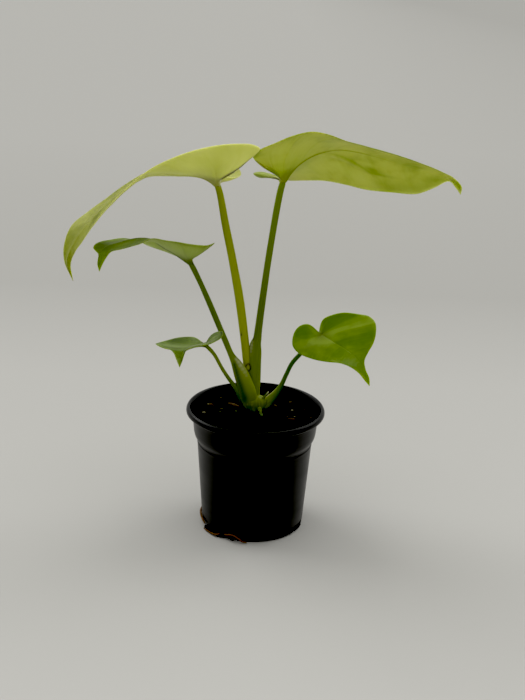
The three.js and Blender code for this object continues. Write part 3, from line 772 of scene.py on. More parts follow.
def scatter(name, finish, count, low, high, flat, seed):
    """Crumbs spread evenly over the soil, with many small and few large ones. The middle of each
    is a little above the ground, by RISE of its height, so about a third of it is sunk."""
    draw = np.random.default_rng(seed)
    radius = CRUMB_FIELD * np.sqrt(draw.uniform(0, 1, count))
    angle = draw.uniform(0, 2 * np.pi, count)
    x, y = radius * np.cos(angle), radius * np.sin(angle)
    length = low + (high - low) * draw.uniform(0, 1, count) ** 2.5
    sizes = np.column_stack([length, length * draw.uniform(0.5, 0.9, count),
                             length * flat * draw.uniform(0.7, 1, count)])
    z = lumpy_top(x, y) + RISE * sizes[:, 2]
    points, faces, tone = crumbs(np.column_stack([x, y, z]), sizes,
                                 draw.uniform(0, 2 * np.pi, count), draw)
    piece = make_piece(name, points * MM, faces, [finish], attributes={"tone": tone})
    piece.data.shade_flat()


scatter("peat_crumbs", PEAT_SKIN, 1500, 0.8, 3.6, 0.7, seed=11)
scatter("bark_crumbs", BARK_SKIN, 60, 0.8, 3.0, 0.45, seed=23)
scatter("coir_crumbs", FIBRE_SKIN, 34, 0.6, 1.9, 0.6, seed=37)

# %% [markdown]
# ### Peat at the drain slots
# Wet peat has pushed out through the slots at the foot and hides the pot's floor there. It is the
# same kind of crumb, strewn between the two sides of each slot, with a small heap beside the left
# one.

# %% Peat at the slots
LEFT_SLOT_PEAT = {"count": 150, "from_degrees": 228, "to_degrees": 256, "near": 35.0, "far": 41.9,
                  "low": 0.7, "high": 3.2, "size": (1.2, 2.8)}
RIGHT_SLOT_PEAT = {"count": 150, "from_degrees": 318, "to_degrees": 346, "near": 35.0,
                   "far": 41.2, "low": 0.7, "high": 3.2, "size": (1.2, 2.6)}
SPILT_PEAT = {"count": 130, "from_degrees": 207, "to_degrees": 236, "near": 41.3, "far": 43.2,
              "low": 0.6, "high": 2.4, "size": (1.2, 2.4)}


def strew(name, place, seed):
    """Crumbs between two angles, radii and heights round the pot's axis. A low one is made small
    enough to stay above the floor, and its lowest corners are flattened there."""
    draw = np.random.default_rng(seed)
    count = place["count"]
    angle = np.radians(draw.uniform(place["from_degrees"], place["to_degrees"], count))
    radius = draw.uniform(place["near"], place["far"], count)
    centres = grid3(radius * np.cos(angle), radius * np.sin(angle),
                    draw.uniform(place["low"], place["high"], count))
    sizes = draw.uniform(*place["size"], (count, 1)) * draw.uniform(0.6, 1.0, (count, 3))
    sizes = np.minimum(sizes, 2 * centres[:, 2:])
    points, faces, tone = crumbs(centres, sizes, draw.uniform(0, 2 * np.pi, count), draw)
    points[:, 2] = np.maximum(points[:, 2], 0.02)
    piece = make_piece(name, points * MM, faces, [PEAT_SKIN],
                       attributes={"tone": tone})
    piece.data.shade_flat()


strew("peat_in_left_slot", LEFT_SLOT_PEAT, seed=41)
strew("peat_in_right_slot", RIGHT_SLOT_PEAT, seed=47)
strew("peat_spilt_at_left", SPILT_PEAT, seed=43)

# %% [markdown]
# ### Bits that the viewer can make out
# A few chips lie at listed places: flakes of pine bark, ends of coir fibre and grains of grit. Each
# is a row of x, y, length, width, height in mm and a turn in degrees, and it sits on the soil by the
# soil's own height there. Pebbles broken by noise look less regular than crumbs do.

# %% Chips and grit
BARK_CHIPS = {
    "large_bark_chip": ("bark_chip_back", [-17.8, 18.8, 11.5, 3.6, 2.0, -38]),
    "left_bark_chip": ("bark_chip_left", [-36.8, 19.4, 5.8, 2.6, 1.8, -38]),
    "right_bark_chip": ("bark_chip_right", [28.6, -6.4, 6.2, 3.2, 1.9, -12]),
}
TAN_BITS = [[-29.4, 33.5, 3.4, 1.6, 1.3, 45], [16.3, 21.8, 5.0, 1.5, 1.2, -62],
            [28.3, 28.5, 3.2, 2.0, 1.3, 30], [44.5, -2.5, 3.4, 1.4, 1.0, 15],
            [25.4, 0.2, 2.2, 1.5, 1.2, 10], [39.5, 14.5, 1.6, 1.2, 0.9, 70],
            [-8.5, 30.5, 2.0, 1.2, 0.9, 20], [23.5, -16.8, 2.4, 1.0, 0.8, 8]]
PALE_BITS = [[-41.1, -0.8, 2.8, 2.2, 1.5, 0], [29.6, 13.4, 2.3, 1.9, 1.4, 30],
             [47.0, 22.8, 2.4, 1.8, 1.5, 0], [31.4, -0.6, 1.6, 1.2, 1.0, 60],
             [-38.9, 18.9, 2.0, 1.5, 1.9, 20]]
OLIVE_BITS = [[-15.4, 6.6, 2.5, 2.2, 1.5, 0], [-27.3, 10.9, 2.0, 1.6, 1.2, 30],
              [-28.4, 6.0, 1.7, 1.3, 1.0, 70]]
print("grains and fibre ends:", len(TAN_BITS) + len(PALE_BITS) + len(OLIVE_BITS))

# %% The surface of a chip
CHIP_ROWS = 20
CHIP_COLUMNS = 28
CHIP_BREAKS = (1.4, 2.6, 2.6)
CHIP_ROUGHNESS = 0.32
CHIP_RISE = 0.45


def chip_surface(length, width, height, seed):
    """A flattened pebble whose radius is broken by noise, with blunt ends:
    x = l/2 cos u, y and z = half the width and height times the 0.8th power of sin u, times cos w
    and sin w, and all of it times 1 + 0.32 noise."""
    u = np.linspace(0, np.pi, CHIP_ROWS)[:, None]
    w = np.linspace(0, 2 * np.pi, CHIP_COLUMNS, endpoint=False)[None, :]
    ball = grid3(np.cos(u) + 0 * w, np.sin(u) ** 0.8 * np.cos(w), np.sin(u) ** 0.8 * np.sin(w))
    radius = 1 + CHIP_ROUGHNESS * rough(ball * CHIP_BREAKS + seed, 3)
    radius[0], radius[-1] = radius[0].mean(), radius[-1].mean()
    return ball * radius[..., None] * np.array([length, width, height]) / 2


def lay_on_soil(surface, x, y, turn):
    """Turns a chip about Z, moves it to x and y, and sinks a twentieth of it into the soil."""
    c, s = np.cos(np.radians(turn)), np.sin(np.radians(turn))
    px, py, pz = np.moveaxis(surface, -1, 0)
    depth = pz.max() - pz.min()
    ground = soil_top(x, y)
    return grid3(px * c - py * s + x, px * s + py * c + y, pz + ground + CHIP_RISE * depth)


print("points of a chip:", CHIP_ROWS * CHIP_COLUMNS)

# %% Laying the chips
for number, (name, (node, chip)) in enumerate(BARK_CHIPS.items()):
    x, y, length, width, height, turn_angle = chip
    surface = lay_on_soil(chip_surface(length, width, height, 5.3 * number), x, y, turn_angle)
    make_piece(name, surface * MM, grid_faces(CHIP_ROWS, CHIP_COLUMNS, ring=True), [BARK_SKIN],
               [node], {"tone": np.full(surface.shape[:2], 0.22)})

for name, finish, slot, bits in (("tan_fibre_bits", FIBRE_SKIN, "bark", TAN_BITS),
                                 ("pale_grit_bits", PALE_SKIN, "potting_mix", PALE_BITS),
                                 ("olive_grit_bits", OLIVE_SKIN, "potting_mix", OLIVE_BITS)):
    surfaces = [lay_on_soil(chip_surface(b[2], b[3], b[4], 3.1 * k + 40), b[0], b[1], b[5])
                for k, b in enumerate(bits)]
    size = CHIP_ROWS * CHIP_COLUMNS
    faces = [grid_faces(CHIP_ROWS, CHIP_COLUMNS, size * k, ring=True) for k in range(len(bits))]
    make_piece(name, np.array(surfaces) * MM, np.vstack(faces), [finish],
               attributes={"tone": np.full(size * len(bits), 0.1)})

# %% [markdown]
# ## Blades
# Each blade is a heart stretched between three guide curves that run from the stalk to the tip: the
# rib and the two margins. Row by row a straight line, bowed a little, joins the margin to the rib,
# as a vein does, and the rows of the two lobes all start at the stalk. On that sheet come the
# relief of the veins, soft puckers between them and the waves of the margin. The sheet gets an
# upper and a lower face along its normals, thin at the margin and thick under the rib.

# %% Guide curves of the two large blades
LARGE_LEFT_BLADE = {
    "rib": [[-35, 8, 277.5], [-50, 7, 281], [-68, 6, 282], [-84.5, 5, 283],
            [-103.5, 4, 270], [-123.5, 4, 251.5], [-140, 5, 231.5], [-148.5, 6, 211],
            [-144.5, 8, 195.5]],
    "near": [[-35, 8, 277.5], [-32, 3, 282], [-24.5, -5, 288.5], [-16, -13, 293],
             [-8, -20, 301.5], [-3, -25, 308], [-8.5, -29, 311.5], [-19.5, -32, 312],
             [-32, -33, 310.5], [-46.5, -33, 306.8], [-62, -32, 301], [-81.3, -28, 291],
             [-97.8, -22, 276.8], [-111.4, -17, 261.8], [-120.6, -15, 249.8],
             [-127.3, -11.5, 240.9], [-134, -8, 231.3], [-141, -1, 221.5], [-145.8, 6, 209],
             [-144.5, 8, 195.5]],
    "far": [[-35, 8, 277.5], [-29.5, 15, 279], [-20, 30, 277], [-17.5, 40, 278],
            [-21, 50, 280.5], [-34, 58, 280], [-56, 59, 281], [-78, 55, 278], [-92.2, 49, 275],
            [-107, 40, 266.5], [-122.5, 35, 255], [-135.5, 31, 246], [-148, 25, 235.7],
            [-152.5, 17, 222], [-151.2, 11, 209.5], [-144.5, 8, 195.5]],
}
LARGE_RIGHT_BLADE = {
    "rib": [[15, 8, 279.5], [25, 7, 291], [33.5, 7, 297.5], [44, 7, 302], [56.5, 8, 304],
            [73, 8, 302], [98, 8, 295.5], [121, 8, 289.5], [138.5, 8, 285.2],
            [146.8, 8, 280.2], [148.6, 8, 273.5]],
    "near": [[15, 8, 279.5], [12, 4, 283], [6, -2, 288], [-1, -7, 292], [-8, -14, 300],
             [-3.5, -22, 306.5], [7.7, -26, 312], [21, -29, 318.3], [33.5, -31, 322],
             [45, -30, 320.5], [59.5, -27, 315], [77.5, -22, 310], [97, -15, 305],
             [116.5, -7, 297.5], [132.8, 1, 291], [142, 6, 286.3], [148.8, 7.5, 279.3],
             [148.6, 8, 273.5]],
    "far": [[15, 8, 279.5], [11.5, 12, 280.5], [4, 22, 280.5], [-2.5, 32, 276.5],
            [-7.8, 42, 277.8], [-1, 51, 277.2], [16, 54, 272], [33, 50, 272.6],
            [48.5, 44, 273.5], [65.5, 37, 272.5], [81, 30, 270.5], [99, 23, 270.4],
            [116.5, 18, 271.1], [128.8, 14, 276.7], [139.5, 10, 282.8], [145, 8.5, 278],
            [148.6, 8, 273.5]],
}
print("points on their ribs:", len(LARGE_LEFT_BLADE["rib"]), len(LARGE_RIGHT_BLADE["rib"]))

# %% Guide curves of the three small blades
MIDDLE_LEFT_BLADE = {
    "rib": [[-55, 8, 216], [-60, 8, 217.5], [-65.5, 8, 220.5], [-75, 8, 226], [-83, 8, 231],
            [-93.5, 7, 232], [-104.5, 6, 229.5], [-115, 5, 225.5], [-121.5, 4, 221.5],
            [-124, 4, 215], [-123.5, 4, 205]],
    "near": [[-55, 8, 216], [-52.5, 5, 220.5], [-47, -1, 225.4], [-41.3, -7, 229.5],
             [-38, -11, 232.8], [-34.6, -14, 235.3], [-39.6, -16, 233.8], [-45, -17, 233.8],
             [-53, -18, 234.5], [-62, -19, 236], [-70.5, -19, 237], [-80.5, -18, 238],
             [-91, -16, 232.7], [-103.3, -12, 227.4], [-112.2, -7, 224], [-116, -2, 219.7],
             [-120.5, 2, 211.8], [-123.5, 4, 205]],
    "far": [[-55, 8, 216], [-53.5, 12, 219.8], [-49.3, 21, 220.3], [-46, 28, 219.5],
            [-49.5, 35, 219.5], [-59.5, 39, 219], [-69, 40, 217.5], [-77.5, 38, 218.2],
            [-86.7, 35, 219.6], [-97, 33, 223], [-107.5, 30, 225.5], [-118.5, 24, 225.3],
            [-124, 18, 225.5], [-127.7, 14, 224.3], [-129, 11, 222], [-127, 9, 220],
            [-124.5, 7, 218], [-125, 5, 210.5], [-123.5, 4, 205]],
}
SMALL_LEFT_BLADE = {
    "lobe": 0.45, "bulge": (-0.05, 0.05),
    "rib": [[-40.5, -7, 152.5], [-45.5, -12, 153], [-51, -19, 153.5], [-55.5, -25, 152.5],
            [-57, -28, 149], [-57.5, -29, 145.5], [-58.5, -29, 141]],
    "near": [[-40.5, -7, 152.5], [-39.4, -6, 153.8], [-38, -3, 155.7], [-35.8, -3, 159.4],
             [-31.5, -6, 163], [-27.5, -12, 165.5], [-26.5, -19, 165.5], [-28, -25, 164],
             [-32, -30, 163], [-36.5, -35, 162.5], [-42.5, -39, 162.5], [-49, -39, 160.5],
             [-53, -35, 157], [-55, -31, 152], [-56.5, -29.5, 146.5], [-58.5, -29, 141]],
    "far": [[-40.5, -7, 152.5], [-42.5, -3, 152.5], [-44, 3, 151.5], [-50.5, 13, 151.5],
            [-58, 17, 150], [-64, 16, 149.5], [-72.5, 10, 149], [-78, 2, 149.5],
            [-79, -6, 151], [-73, -16, 152], [-66.7, -21, 152.6], [-63.5, -25, 151],
            [-61, -28, 146.5], [-58.5, -29, 141]],
}
SMALL_RIGHT_BLADE = {
    "lobe": 0.42, "bulge": (-0.02, -0.01),
    "rib": [[50, 13, 157.5], [57, 9, 154.5], [65, 5, 151], [73.5, 0, 147], [80.5, -4, 141],
            [85.5, -8, 132.5], [88.5, -10, 124]],
    "near": [[50, 13, 157.5], [47.5, 12, 159.5], [44.2, 11, 162.7], [42, 9, 165.5],
             [38, 6, 168], [32.5, 2, 167.5], [29, -1, 164.5], [27, -4, 159.5],
             [27.2, -6, 153.4], [32, -7, 148], [41.5, -9, 145], [53, -11, 143.5],
             [65, -12, 142.5], [73, -12, 139.5], [79.8, -11, 134.4], [84.5, -10.5, 128.5],
             [88.5, -10, 124]],
    "far": [[50, 13, 157.5], [48.5, 14, 160.5], [48.8, 17, 163.3], [51.5, 22, 167.5],
            [58.5, 26, 170], [68, 28, 171.5], [79.5, 27, 171], [87.7, 24, 170.6],
            [92.5, 20, 166.8], [93, 14, 160], [91, 8, 153.5], [86.9, 3, 147.3], [84, -2, 142],
            [85, -6, 136], [87.8, -8.5, 130.3], [88.5, -10, 124]],
}
print("points on their ribs:", len(MIDDLE_LEFT_BLADE["rib"]), len(SMALL_LEFT_BLADE["rib"]),
      len(SMALL_RIGHT_BLADE["rib"]))

# %% [markdown]
# ### The sheet between the guide curves
# A blade could be drawn flat and bent by a lattice, or sculpted. Here the three curves alone give
# every point of it, so the outline and the curl are those of the guide points, from any side. The
# columns lie closer together at the rib, where the relief is finest.

# %% The sheet of a blade
RIB_NUDGE = 0.002
COLUMN_POWER = 1.5
USUAL_LOBE = 0.36
USUAL_BULGE = (0.06, 0.06)


def blade_sheet(guide, rows, columns):
    """The two halves of a blade in mm, and what is known of each row and column.
    Row t joins the margin at share t of its length to the rib at share (t - lobe) / (1 - lobe), or
    to the stalk while t is under lobe. It bows by bulge times its length, as a parabola, along
    the cross product of the row and the rib's direction."""
    lobe = guide.get("lobe", USUAL_LOBE)
    bulge = guide.get("bulge", USUAL_BULGE)
    t = np.linspace(0, 1, rows)
    v = np.linspace(0, 1, columns) ** COLUMN_POWER
    s = np.clip((t - lobe) / (1 - lobe), 0, 1)
    inner = by_length(guide["rib"], s)
    ahead = by_length(guide["rib"], s + RIB_NUDGE) - by_length(guide["rib"], s - RIB_NUDGE)
    tangent = unit(ahead)
    halves = []
    for side, margin in enumerate(("near", "far")):
        facing = 1 - 2 * side
        row = by_length(guide[margin], t) - inner
        length = np.linalg.norm(row, axis=1)
        up = unit(np.cross(row, tangent)) * facing
        rise = bulge[side] * length[:, None] * 4 * v * (1 - v)
        sheet = inner[:, None] + row[:, None] * v[:, None] + up[:, None] * rise[..., None]
        behind = (s == 0) & (np.sum(row * tangent, axis=1) < 0)
        across = np.linalg.norm(np.cross(row, tangent), axis=1)
        halves.append({
            "sheet": sheet, "facing": facing, "length": length,
            "from_rib": np.where(behind, length, across)[:, None] * v,
            "from_stalk": np.linalg.norm(sheet - np.asarray(guide["rib"][0], float), axis=-1),
        })
    narrow = np.minimum(halves[0]["length"], halves[1]["length"])[:, None]
    for half in halves:
        half["from_margin"] = narrow * (1 - v)
    return halves, t[:, None], v[None, :], s[:, None]


coarse_halves = blade_sheet(LARGE_LEFT_BLADE, 20, 8)[0]
print("widest rows of the large left blade in mm:",
      [round(float(half["length"].max()), 1) for half in coarse_halves])


# %% The normals of a sheet
def sheet_normals(halves, lobe_rows):
    """Unit normals of both halves, upwards. They are the cross products of the grid's steps, and
    agree along the rib, at the stalk and at the tip, where the halves meet."""
    for half in halves:
        along, across = np.gradient(half["sheet"], axis=0), np.gradient(half["sheet"], axis=1)
        half["normal"] = unit(np.cross(along, across)) * half["facing"]
    near, far = halves
    if near["normal"][..., 2].sum() + far["normal"][..., 2].sum() < 0:
        for half in halves:
            half["normal"] = -half["normal"]
    rib = unit(near["normal"][:, 1] + far["normal"][:, 1])
    rib[:lobe_rows + 1] = rib[lobe_rows + 1]
    rib[-1] = rib[-2]
    for half in halves:
        half["normal"][:, 0] = rib
        half["normal"][0] = rib[0]
        half["normal"][-1] = rib[-1]


sheet_normals(coarse_halves, 6)
print("normal at its stalk:", coarse_halves[0]["normal"][0, 0].round(2).tolist())

# %% [markdown]
# ### Veins, puckers and patches
# Side veins run from the rib towards the margin and bend to the tip. Between them the skin swells a
# little. Patches of colour lie along the veins too, so both are functions of the same t and v. Some
# are the leaf's own mottling, and the rest are painted sheen and painted shade.

# %% Veins and patches
VEIN_SWEEP = 0.05
VEIN_WIDTH = 0.06
FRAY = 0.16


def lateral_veins(t, v, count):
    """How near each point is to a side vein and to the middle between two, from 0 to 1, and the
    place t - sweep v squared, which is constant along a side vein, so it bends towards the tip."""
    place = t - VEIN_SWEEP * v**2
    phase = place * count
    gap = np.abs(phase - np.round(phase))
    fade = ramp(t, 0.0, 0.03) * (1 - ramp(t, 0.85, 1.0))
    fade = fade * ramp(v, 0.0, 0.04) * (1 - ramp(v, 0.75, 1.0))
    return bell(gap, VEIN_WIDTH) * fade, np.sin(np.pi * phase) ** 2 * fade, place


def patches(marks_of_side, t, v, crisp=0.0):
    """The sum of soft oval patches, each a row of t, v, its reach along each, its lean, which is
    how far t moves as v grows by one, and a strength. A crisp patch ends within a narrow, frayed
    line, as the sectors of a mottled leaf do."""
    total = np.zeros(np.broadcast_shapes(t.shape, v.shape))
    fray = FRAY * rough(grid3(t * 45, v * 3.5, 0.5), 2)
    for t0, v0, t_reach, v_reach, lean, strength in marks_of_side:
        soft = bell(t - t0 - lean * (v - v0), t_reach) * bell(v - v0, v_reach)
        sharp = ramp(soft + fray, 0.36, 0.6)
        total = total + strength * (soft + crisp * (sharp - soft))
    return total


print("vein at the rib, mid-blade and margin:",
      lateral_veins(np.full(3, 1 / 3), np.array([0, 0.5, 1]), 9)[0].round(2).tolist())


# %% The junction with the stalk
def junction(points, guide, down, depth, radius, reach, skew, tint):
    """How far the lower face runs down the stalk, and how near each point is to the stalk.
    The fall is depth times e to the minus (distance from the stalk's line - radius) / reach, and
    the reach is longer by skew on the rib's side. The stalk's tint fades within tint mm."""
    down = unit(np.asarray(down, float))
    arm = points - np.asarray(guide["rib"][0], float)
    arm = arm - np.sum(arm * down, axis=-1, keepdims=True) * down
    distance = np.linalg.norm(arm, axis=-1)
    ahead = unit(np.subtract(guide["rib"][2], guide["rib"][0]))
    local = reach * (1 + skew * np.sum(unit(arm) * ahead, axis=-1))
    fall = depth * np.exp(-np.maximum(distance - radius, 0) / local)
    return fall[..., None] * down, np.exp(-distance / tint)


trial_places = np.array(LARGE_LEFT_BLADE["rib"][0]) + np.array([[0, 0, 0], [0, 3, 0], [0, 9, 0]])
trial_fall = junction(trial_places, LARGE_LEFT_BLADE, (0, 0, -1), 4, 2, 2, 0, 4)[0]
print("fall at 0, 3 and 9 mm from a stalk 4 mm thick:", (-trial_fall[:, 2]).round(2).tolist())

# %% [markdown]
# ### Thickness and relief
# A blade is thickest under its rib and at the stalk, and thin at its margin, which the Solidify
# modifier alone would not give. So the distance of each face from the middle is worked out. Veins
# are sunk a little in the upper face and stand out on the lower one.

# %% The relief of a blade
BLADE_THICKNESS = 0.62
MARGIN_THICKNESS = 0.3
MARGIN_BREADTH = 1.6
STALK_BREADTH = 2.5
RIB_TAPER, RIB_FLATTENING = 0.65, 0.75
VEIN_SUNK, RIB_SUNK, VEIN_RAISED = 0.10, 0.25, 0.14


def blade_relief(side, half, look, t, v, s):
    """The middle of a half-blade, the distances of its faces from it, and its veins.
    The middle is the sheet, lifted by the waves of the margin, the puckers and the folds. The
    thickness falls from the blade's to the margin's within MARGIN_BREADTH of the margin."""
    vein, pucker, place = lateral_veins(t, v, look["veins"])
    rib = bell(half["from_rib"], look["rib_width"] * (1 - RIB_TAPER * s))
    end = look["rib_end"]
    rib = rib * (1 - ramp(s, end - 0.15, end + 0.15)) * (1 - ramp(t, 0.97, 1.0))
    wave = look["wave"] * np.sin(2 * np.pi * look["waves"] * t + 2.1 * side)
    wave = wave * ramp(v, 0.45, 1.0) * ramp(t, 0.04, 0.2) * (1 - ramp(t, 0.85, 0.98))
    folds = patches(look["folds"][side], t, v) * ramp(v, 0.0, 0.1)
    lift = wave + look["pucker"] * pucker + folds
    thin = 1 - ramp(half["from_margin"], 0, MARGIN_BREADTH)
    thin = thin * ramp(half["from_stalk"], 0, STALK_BREADTH)
    thickness = BLADE_THICKNESS - (BLADE_THICKNESS - MARGIN_THICKNESS) * thin
    middle = half["sheet"] + half["normal"] * lift[..., None]
    above = thickness / 2 - VEIN_SUNK * vein - RIB_SUNK * rib
    rib_depth = look["rib_depth"] * (1 - RIB_FLATTENING * s)
    below = thickness / 2 + VEIN_RAISED * vein + rib_depth * rib
    return middle, above, below, vein, rib, place


print("thickness of a blade and its margin in mm:", BLADE_THICKNESS, MARGIN_THICKNESS)

# %% [markdown]
# ### From sheet to leaf
# Each half gets an upper face, a lower face and a narrow strip round its margin, and the weld joins
# them all. The faces carry two finishes in one mesh, so upper and lower skin meet without a seam.
# What the finishes need to know of a point, such as how near a vein it is, goes along with it.

# %% The two faces of a blade
MARGIN_ROUNDING = 0.12
OTHER_HALF = 1.7
UPPER, LOWER = 0, 1


def make_blade(name, guide, look, finishes, node):
    """Both faces of both halves, and a strip with a rounded middle row round each margin."""
    rows, columns = look["rows"], look["columns"]
    halves, t, v, s = blade_sheet(guide, rows, columns)
    sheet_normals(halves, int(np.sum(s == 0)) - 1)
    points, faces, finish_of, fields = [], [], [], {}
    start = 0
    for side, half in enumerate(halves):
        middle, above, below, vein, rib, place = blade_relief(side, half, look, t, v, s)
        fall, stem_near = junction(half["sheet"], guide, *look["junction"])
        upper = middle + half["normal"] * above[..., None]
        lower = middle - half["normal"] * below[..., None] + fall
        outwards = unit(half["sheet"][:, -1] - half["sheet"][:, -2])
        edge = (upper[:, -1] + lower[:, -1]) / 2 + MARGIN_ROUNDING * outwards
        flip = half["facing"] > 0
        values = {
            "vein_place": place + OTHER_HALF * side, "span": v + 0 * t,
            "pale_mottle_and_painted_light": np.clip(patches(look["light"][side], t, v, look["crisp"]), 0, 1),
            "dark_mottle_and_painted_shade": np.clip(patches(look["dark"][side], t, v, look["crisp"]), 0, 1),
        }
        over_vein, over_rib, under_vein, under_rib = look["lines"]
        over = values | {"vein": np.maximum(over_vein * vein, over_rib * rib),
                         "stem_near": 0.5 * stem_near}
        under = values | {"vein": np.maximum(under_vein * vein, under_rib * rib),
                          "stem_near": stem_near}
        # The look's rim darkens the margin strip with the deep colour: painted shade along a curled edge.
        rim = under | {"dark_mottle_and_painted_shade": np.maximum(values["dark_mottle_and_painted_shade"], look["rim"])}
        strip = np.stack([upper[:, -1], edge, lower[:, -1]], axis=1)
        for grid, numbers, turned_over, finish, wide in (
                (upper, over, flip, UPPER, columns), (lower, under, not flip, LOWER, columns),
                (strip, rim, flip, LOWER, strip.shape[1])):
            points.append(grid.reshape(-1, 3))
            part = grid_faces(rows, wide, start, flip=turned_over)
            faces.append(part)
            finish_of.append(np.full(len(part), finish))
            start += rows * wide
            for key, field in numbers.items():
                kept = field if wide == columns else np.repeat(field[:, -1:], wide, axis=1)
                fields.setdefault(key, []).append(kept.ravel())
    attributes = {key: np.concatenate(field) for key, field in fields.items()}
    return make_piece(name, np.vstack(points) * MM, np.vstack(faces), finishes, [node],
                      attributes, np.concatenate(finish_of))


print("finishes of a blade:", UPPER, "on the upper face,", LOWER, "on the lower one")

# %% [markdown]
# ### The looks of the large blades
# The two large blades have just hardened and are still golden. Folds and patches are rows of t, v,
# the reach along each, a lean and a strength, for the near half and the far half: t runs from the
# lobes to the tip and v from the rib to the margin. Their light patches are painted sheen and
# light. Their dark ones are mostly painted shade, in creases, along curled margins and on parts
# turned from the light. The junction is the stalk's direction and the size of the fillet between it
# and the blade. Lengths are in mm.

# %% Looks of the two large blades
USUAL_LOOK = {"waves": 3.0, "crisp": 0.0, "folds": [[], []]}
LARGE_LEFT_LOOK = USUAL_LOOK | {
    "rows": 300, "columns": 44, "veins": 9, "rib_width": 1.5, "rib_depth": 0.7, "rib_end": 0.8,
    "pucker": 0.18, "wave": 0.4, "rim": 0.0, "lines": (0.3, 0.7, 0.15, 0.85),
    "junction": ((3.0, 0, -9.0), 4.6, 2.2, 2.4, 0.35, 4.5),
    "light": [[(0.1, 0.8, 0.1, 0.5, 0.0, 1.0), (0.66, 0.5, 0.04, 0.4, 0.1, 0.4),
               (0.42, 0.6, 0.05, 0.3, 0.0, 0.3), (0.5, 0.95, 0.2, 0.05, 0.0, 0.5),
               (0.24, 0.55, 0.035, 0.5, 0.0, 0.8)],
              [(0.12, 0.6, 0.12, 0.6, 0.0, 1.0), (0.65, 0.5, 0.04, 0.5, 0.1, 0.2)]],
    "dark": [[(0.33, 0.55, 0.03, 0.4, 0.0, 0.5), (0.95, 0.5, 0.06, 0.9, 0.0, 0.5),
              (0.786, 0.36, 0.011, 0.3, 0.07, 1.0), (0.762, 0.3, 0.006, 0.2, 0.07, 0.9),
              (0.74, 0.2, 0.05, 0.3, 0.0, 0.3)],
             [(0.95, 0.5, 0.06, 0.9, 0.0, 0.5), (0.75, 0.15, 0.05, 0.3, 0.0, 0.4)]],
}
LARGE_RIGHT_LOOK = USUAL_LOOK | {
    "rows": 300, "columns": 44, "veins": 9, "rib_width": 1.1, "rib_depth": 0.7, "rib_end": 0.5,
    "pucker": 0.2, "wave": 0.35, "waves": 4.0, "rim": 1.0, "lines": (0.3, 0.7, 0.15, 0.7),
    "junction": ((-1.9, 0, -8.2), 3.5, 2.2, 1.3, 0.2, 7.5),
    "folds": [[], [(0.585, 0.33, 0.018, 0.22, 0.26, -0.9), (0.71, 0.57, 0.05, 0.06, 0.0, -0.6)]],
    "light": [[(0.54, 0.55, 0.05, 0.3, 0.0, 0.5), (0.4, 0.7, 0.05, 0.3, 0.0, 0.3)],
              [(0.62, 0.78, 0.05, 0.2, 0.1, 0.6), (0.45, 0.5, 0.06, 0.4, 0.0, 0.4)]],
    "dark": [[(0.72, 1.0, 0.15, 0.09, 0.0, 1.0), (0.8, 0.25, 0.03, 0.2, 0.1, 0.5),
              (0.19, 0.96, 0.02, 0.08, 0.0, 0.9), (0.97, 0.5, 0.03, 0.9, 0.0, 0.9)],
             [(0.6, 0.33, 0.01, 0.22, 0.26, 0.7), (0.67, 0.46, 0.03, 0.09, 0.1, 0.8),
              (0.7, 0.54, 0.05, 0.03, 0.0, 0.5), (0.72, 0.95, 0.03, 0.15, 0.0, 0.4),
              (0.8, 0.8, 0.08, 0.2, 0.0, 0.4), (0.88, 0.4, 0.05, 0.3, 0.0, 0.4),
              (0.72, 1.0, 0.14, 0.05, 0.0, 0.5), (0.97, 0.5, 0.03, 0.9, 0.0, 0.9)]],
}
print("side veins of the large blades:", LARGE_LEFT_LOOK["veins"], LARGE_RIGHT_LOOK["veins"])

# %% [markdown]
# ### The looks of the small blades
# The three older blades are green and smaller. The one on the right is mottled: its light and dark
# sectors end in crisp, frayed lines along the veins, where one cell line of the shoot gives way to
# another. Its other patches, and those of the two blades on the left, are mostly painted sheen and
# painted shade.

# %% Looks of the three small blades
MIDDLE_LEFT_LOOK = USUAL_LOOK | {
    "rows": 220, "columns": 34, "veins": 8, "rib_width": 2.5, "rib_depth": 0.9, "rib_end": 0.7,
    "pucker": 0.12, "wave": 0.2, "rim": 0.6, "lines": (0.2, 0.45, 0.12, 1.0),
    "junction": ((3.4, 0, -5.9), 4.0, 1.8, 2.0, 0.45, 6.0),
    "light": [[(0.75, 0.3, 0.07, 0.12, 0.0, 0.5), (0.45, 0.5, 0.06, 0.3, 0.0, 0.3)],
              [(0.52, 0.5, 0.04, 0.3, 0.0, 0.6), (0.66, 0.5, 0.04, 0.4, 0.0, 0.3)]],
    "dark": [[(0.35, 0.97, 0.25, 0.05, 0.0, 0.6), (0.97, 0.5, 0.05, 0.9, 0.0, 0.9)],
             [(0.8, 0.65, 0.07, 0.3, 0.0, 0.5), (0.97, 0.5, 0.05, 0.9, 0.0, 0.9)]],
}
SMALL_LEFT_LOOK = USUAL_LOOK | {
    "rows": 180, "columns": 30, "veins": 7, "rib_width": 0.9, "rib_depth": 0.6, "rib_end": 0.9,
    "pucker": 0.08, "wave": 0.15, "rim": 0.6, "lines": (0.25, 0.6, 0.15, 0.4),
    "junction": ((2.9, 1.0, -3.0), 2.2, 1.3, 1.3, 0.2, 5.0),
    "light": [[(0.34, 0.55, 0.06, 0.25, 0.0, 0.3), (0.65, 0.8, 0.12, 0.12, 0.0, 0.9)],
              [(0.57, 0.5, 0.05, 0.4, 0.0, 0.6), (0.91, 0.35, 0.04, 0.3, 0.0, 0.2)]],
    "dark": [[(0.34, 0.95, 0.1, 0.1, 0.0, 0.9), (0.95, 0.5, 0.05, 0.9, 0.0, 0.4)],
             [(0.4, 0.85, 0.12, 0.3, 0.0, 1.0)]],
}
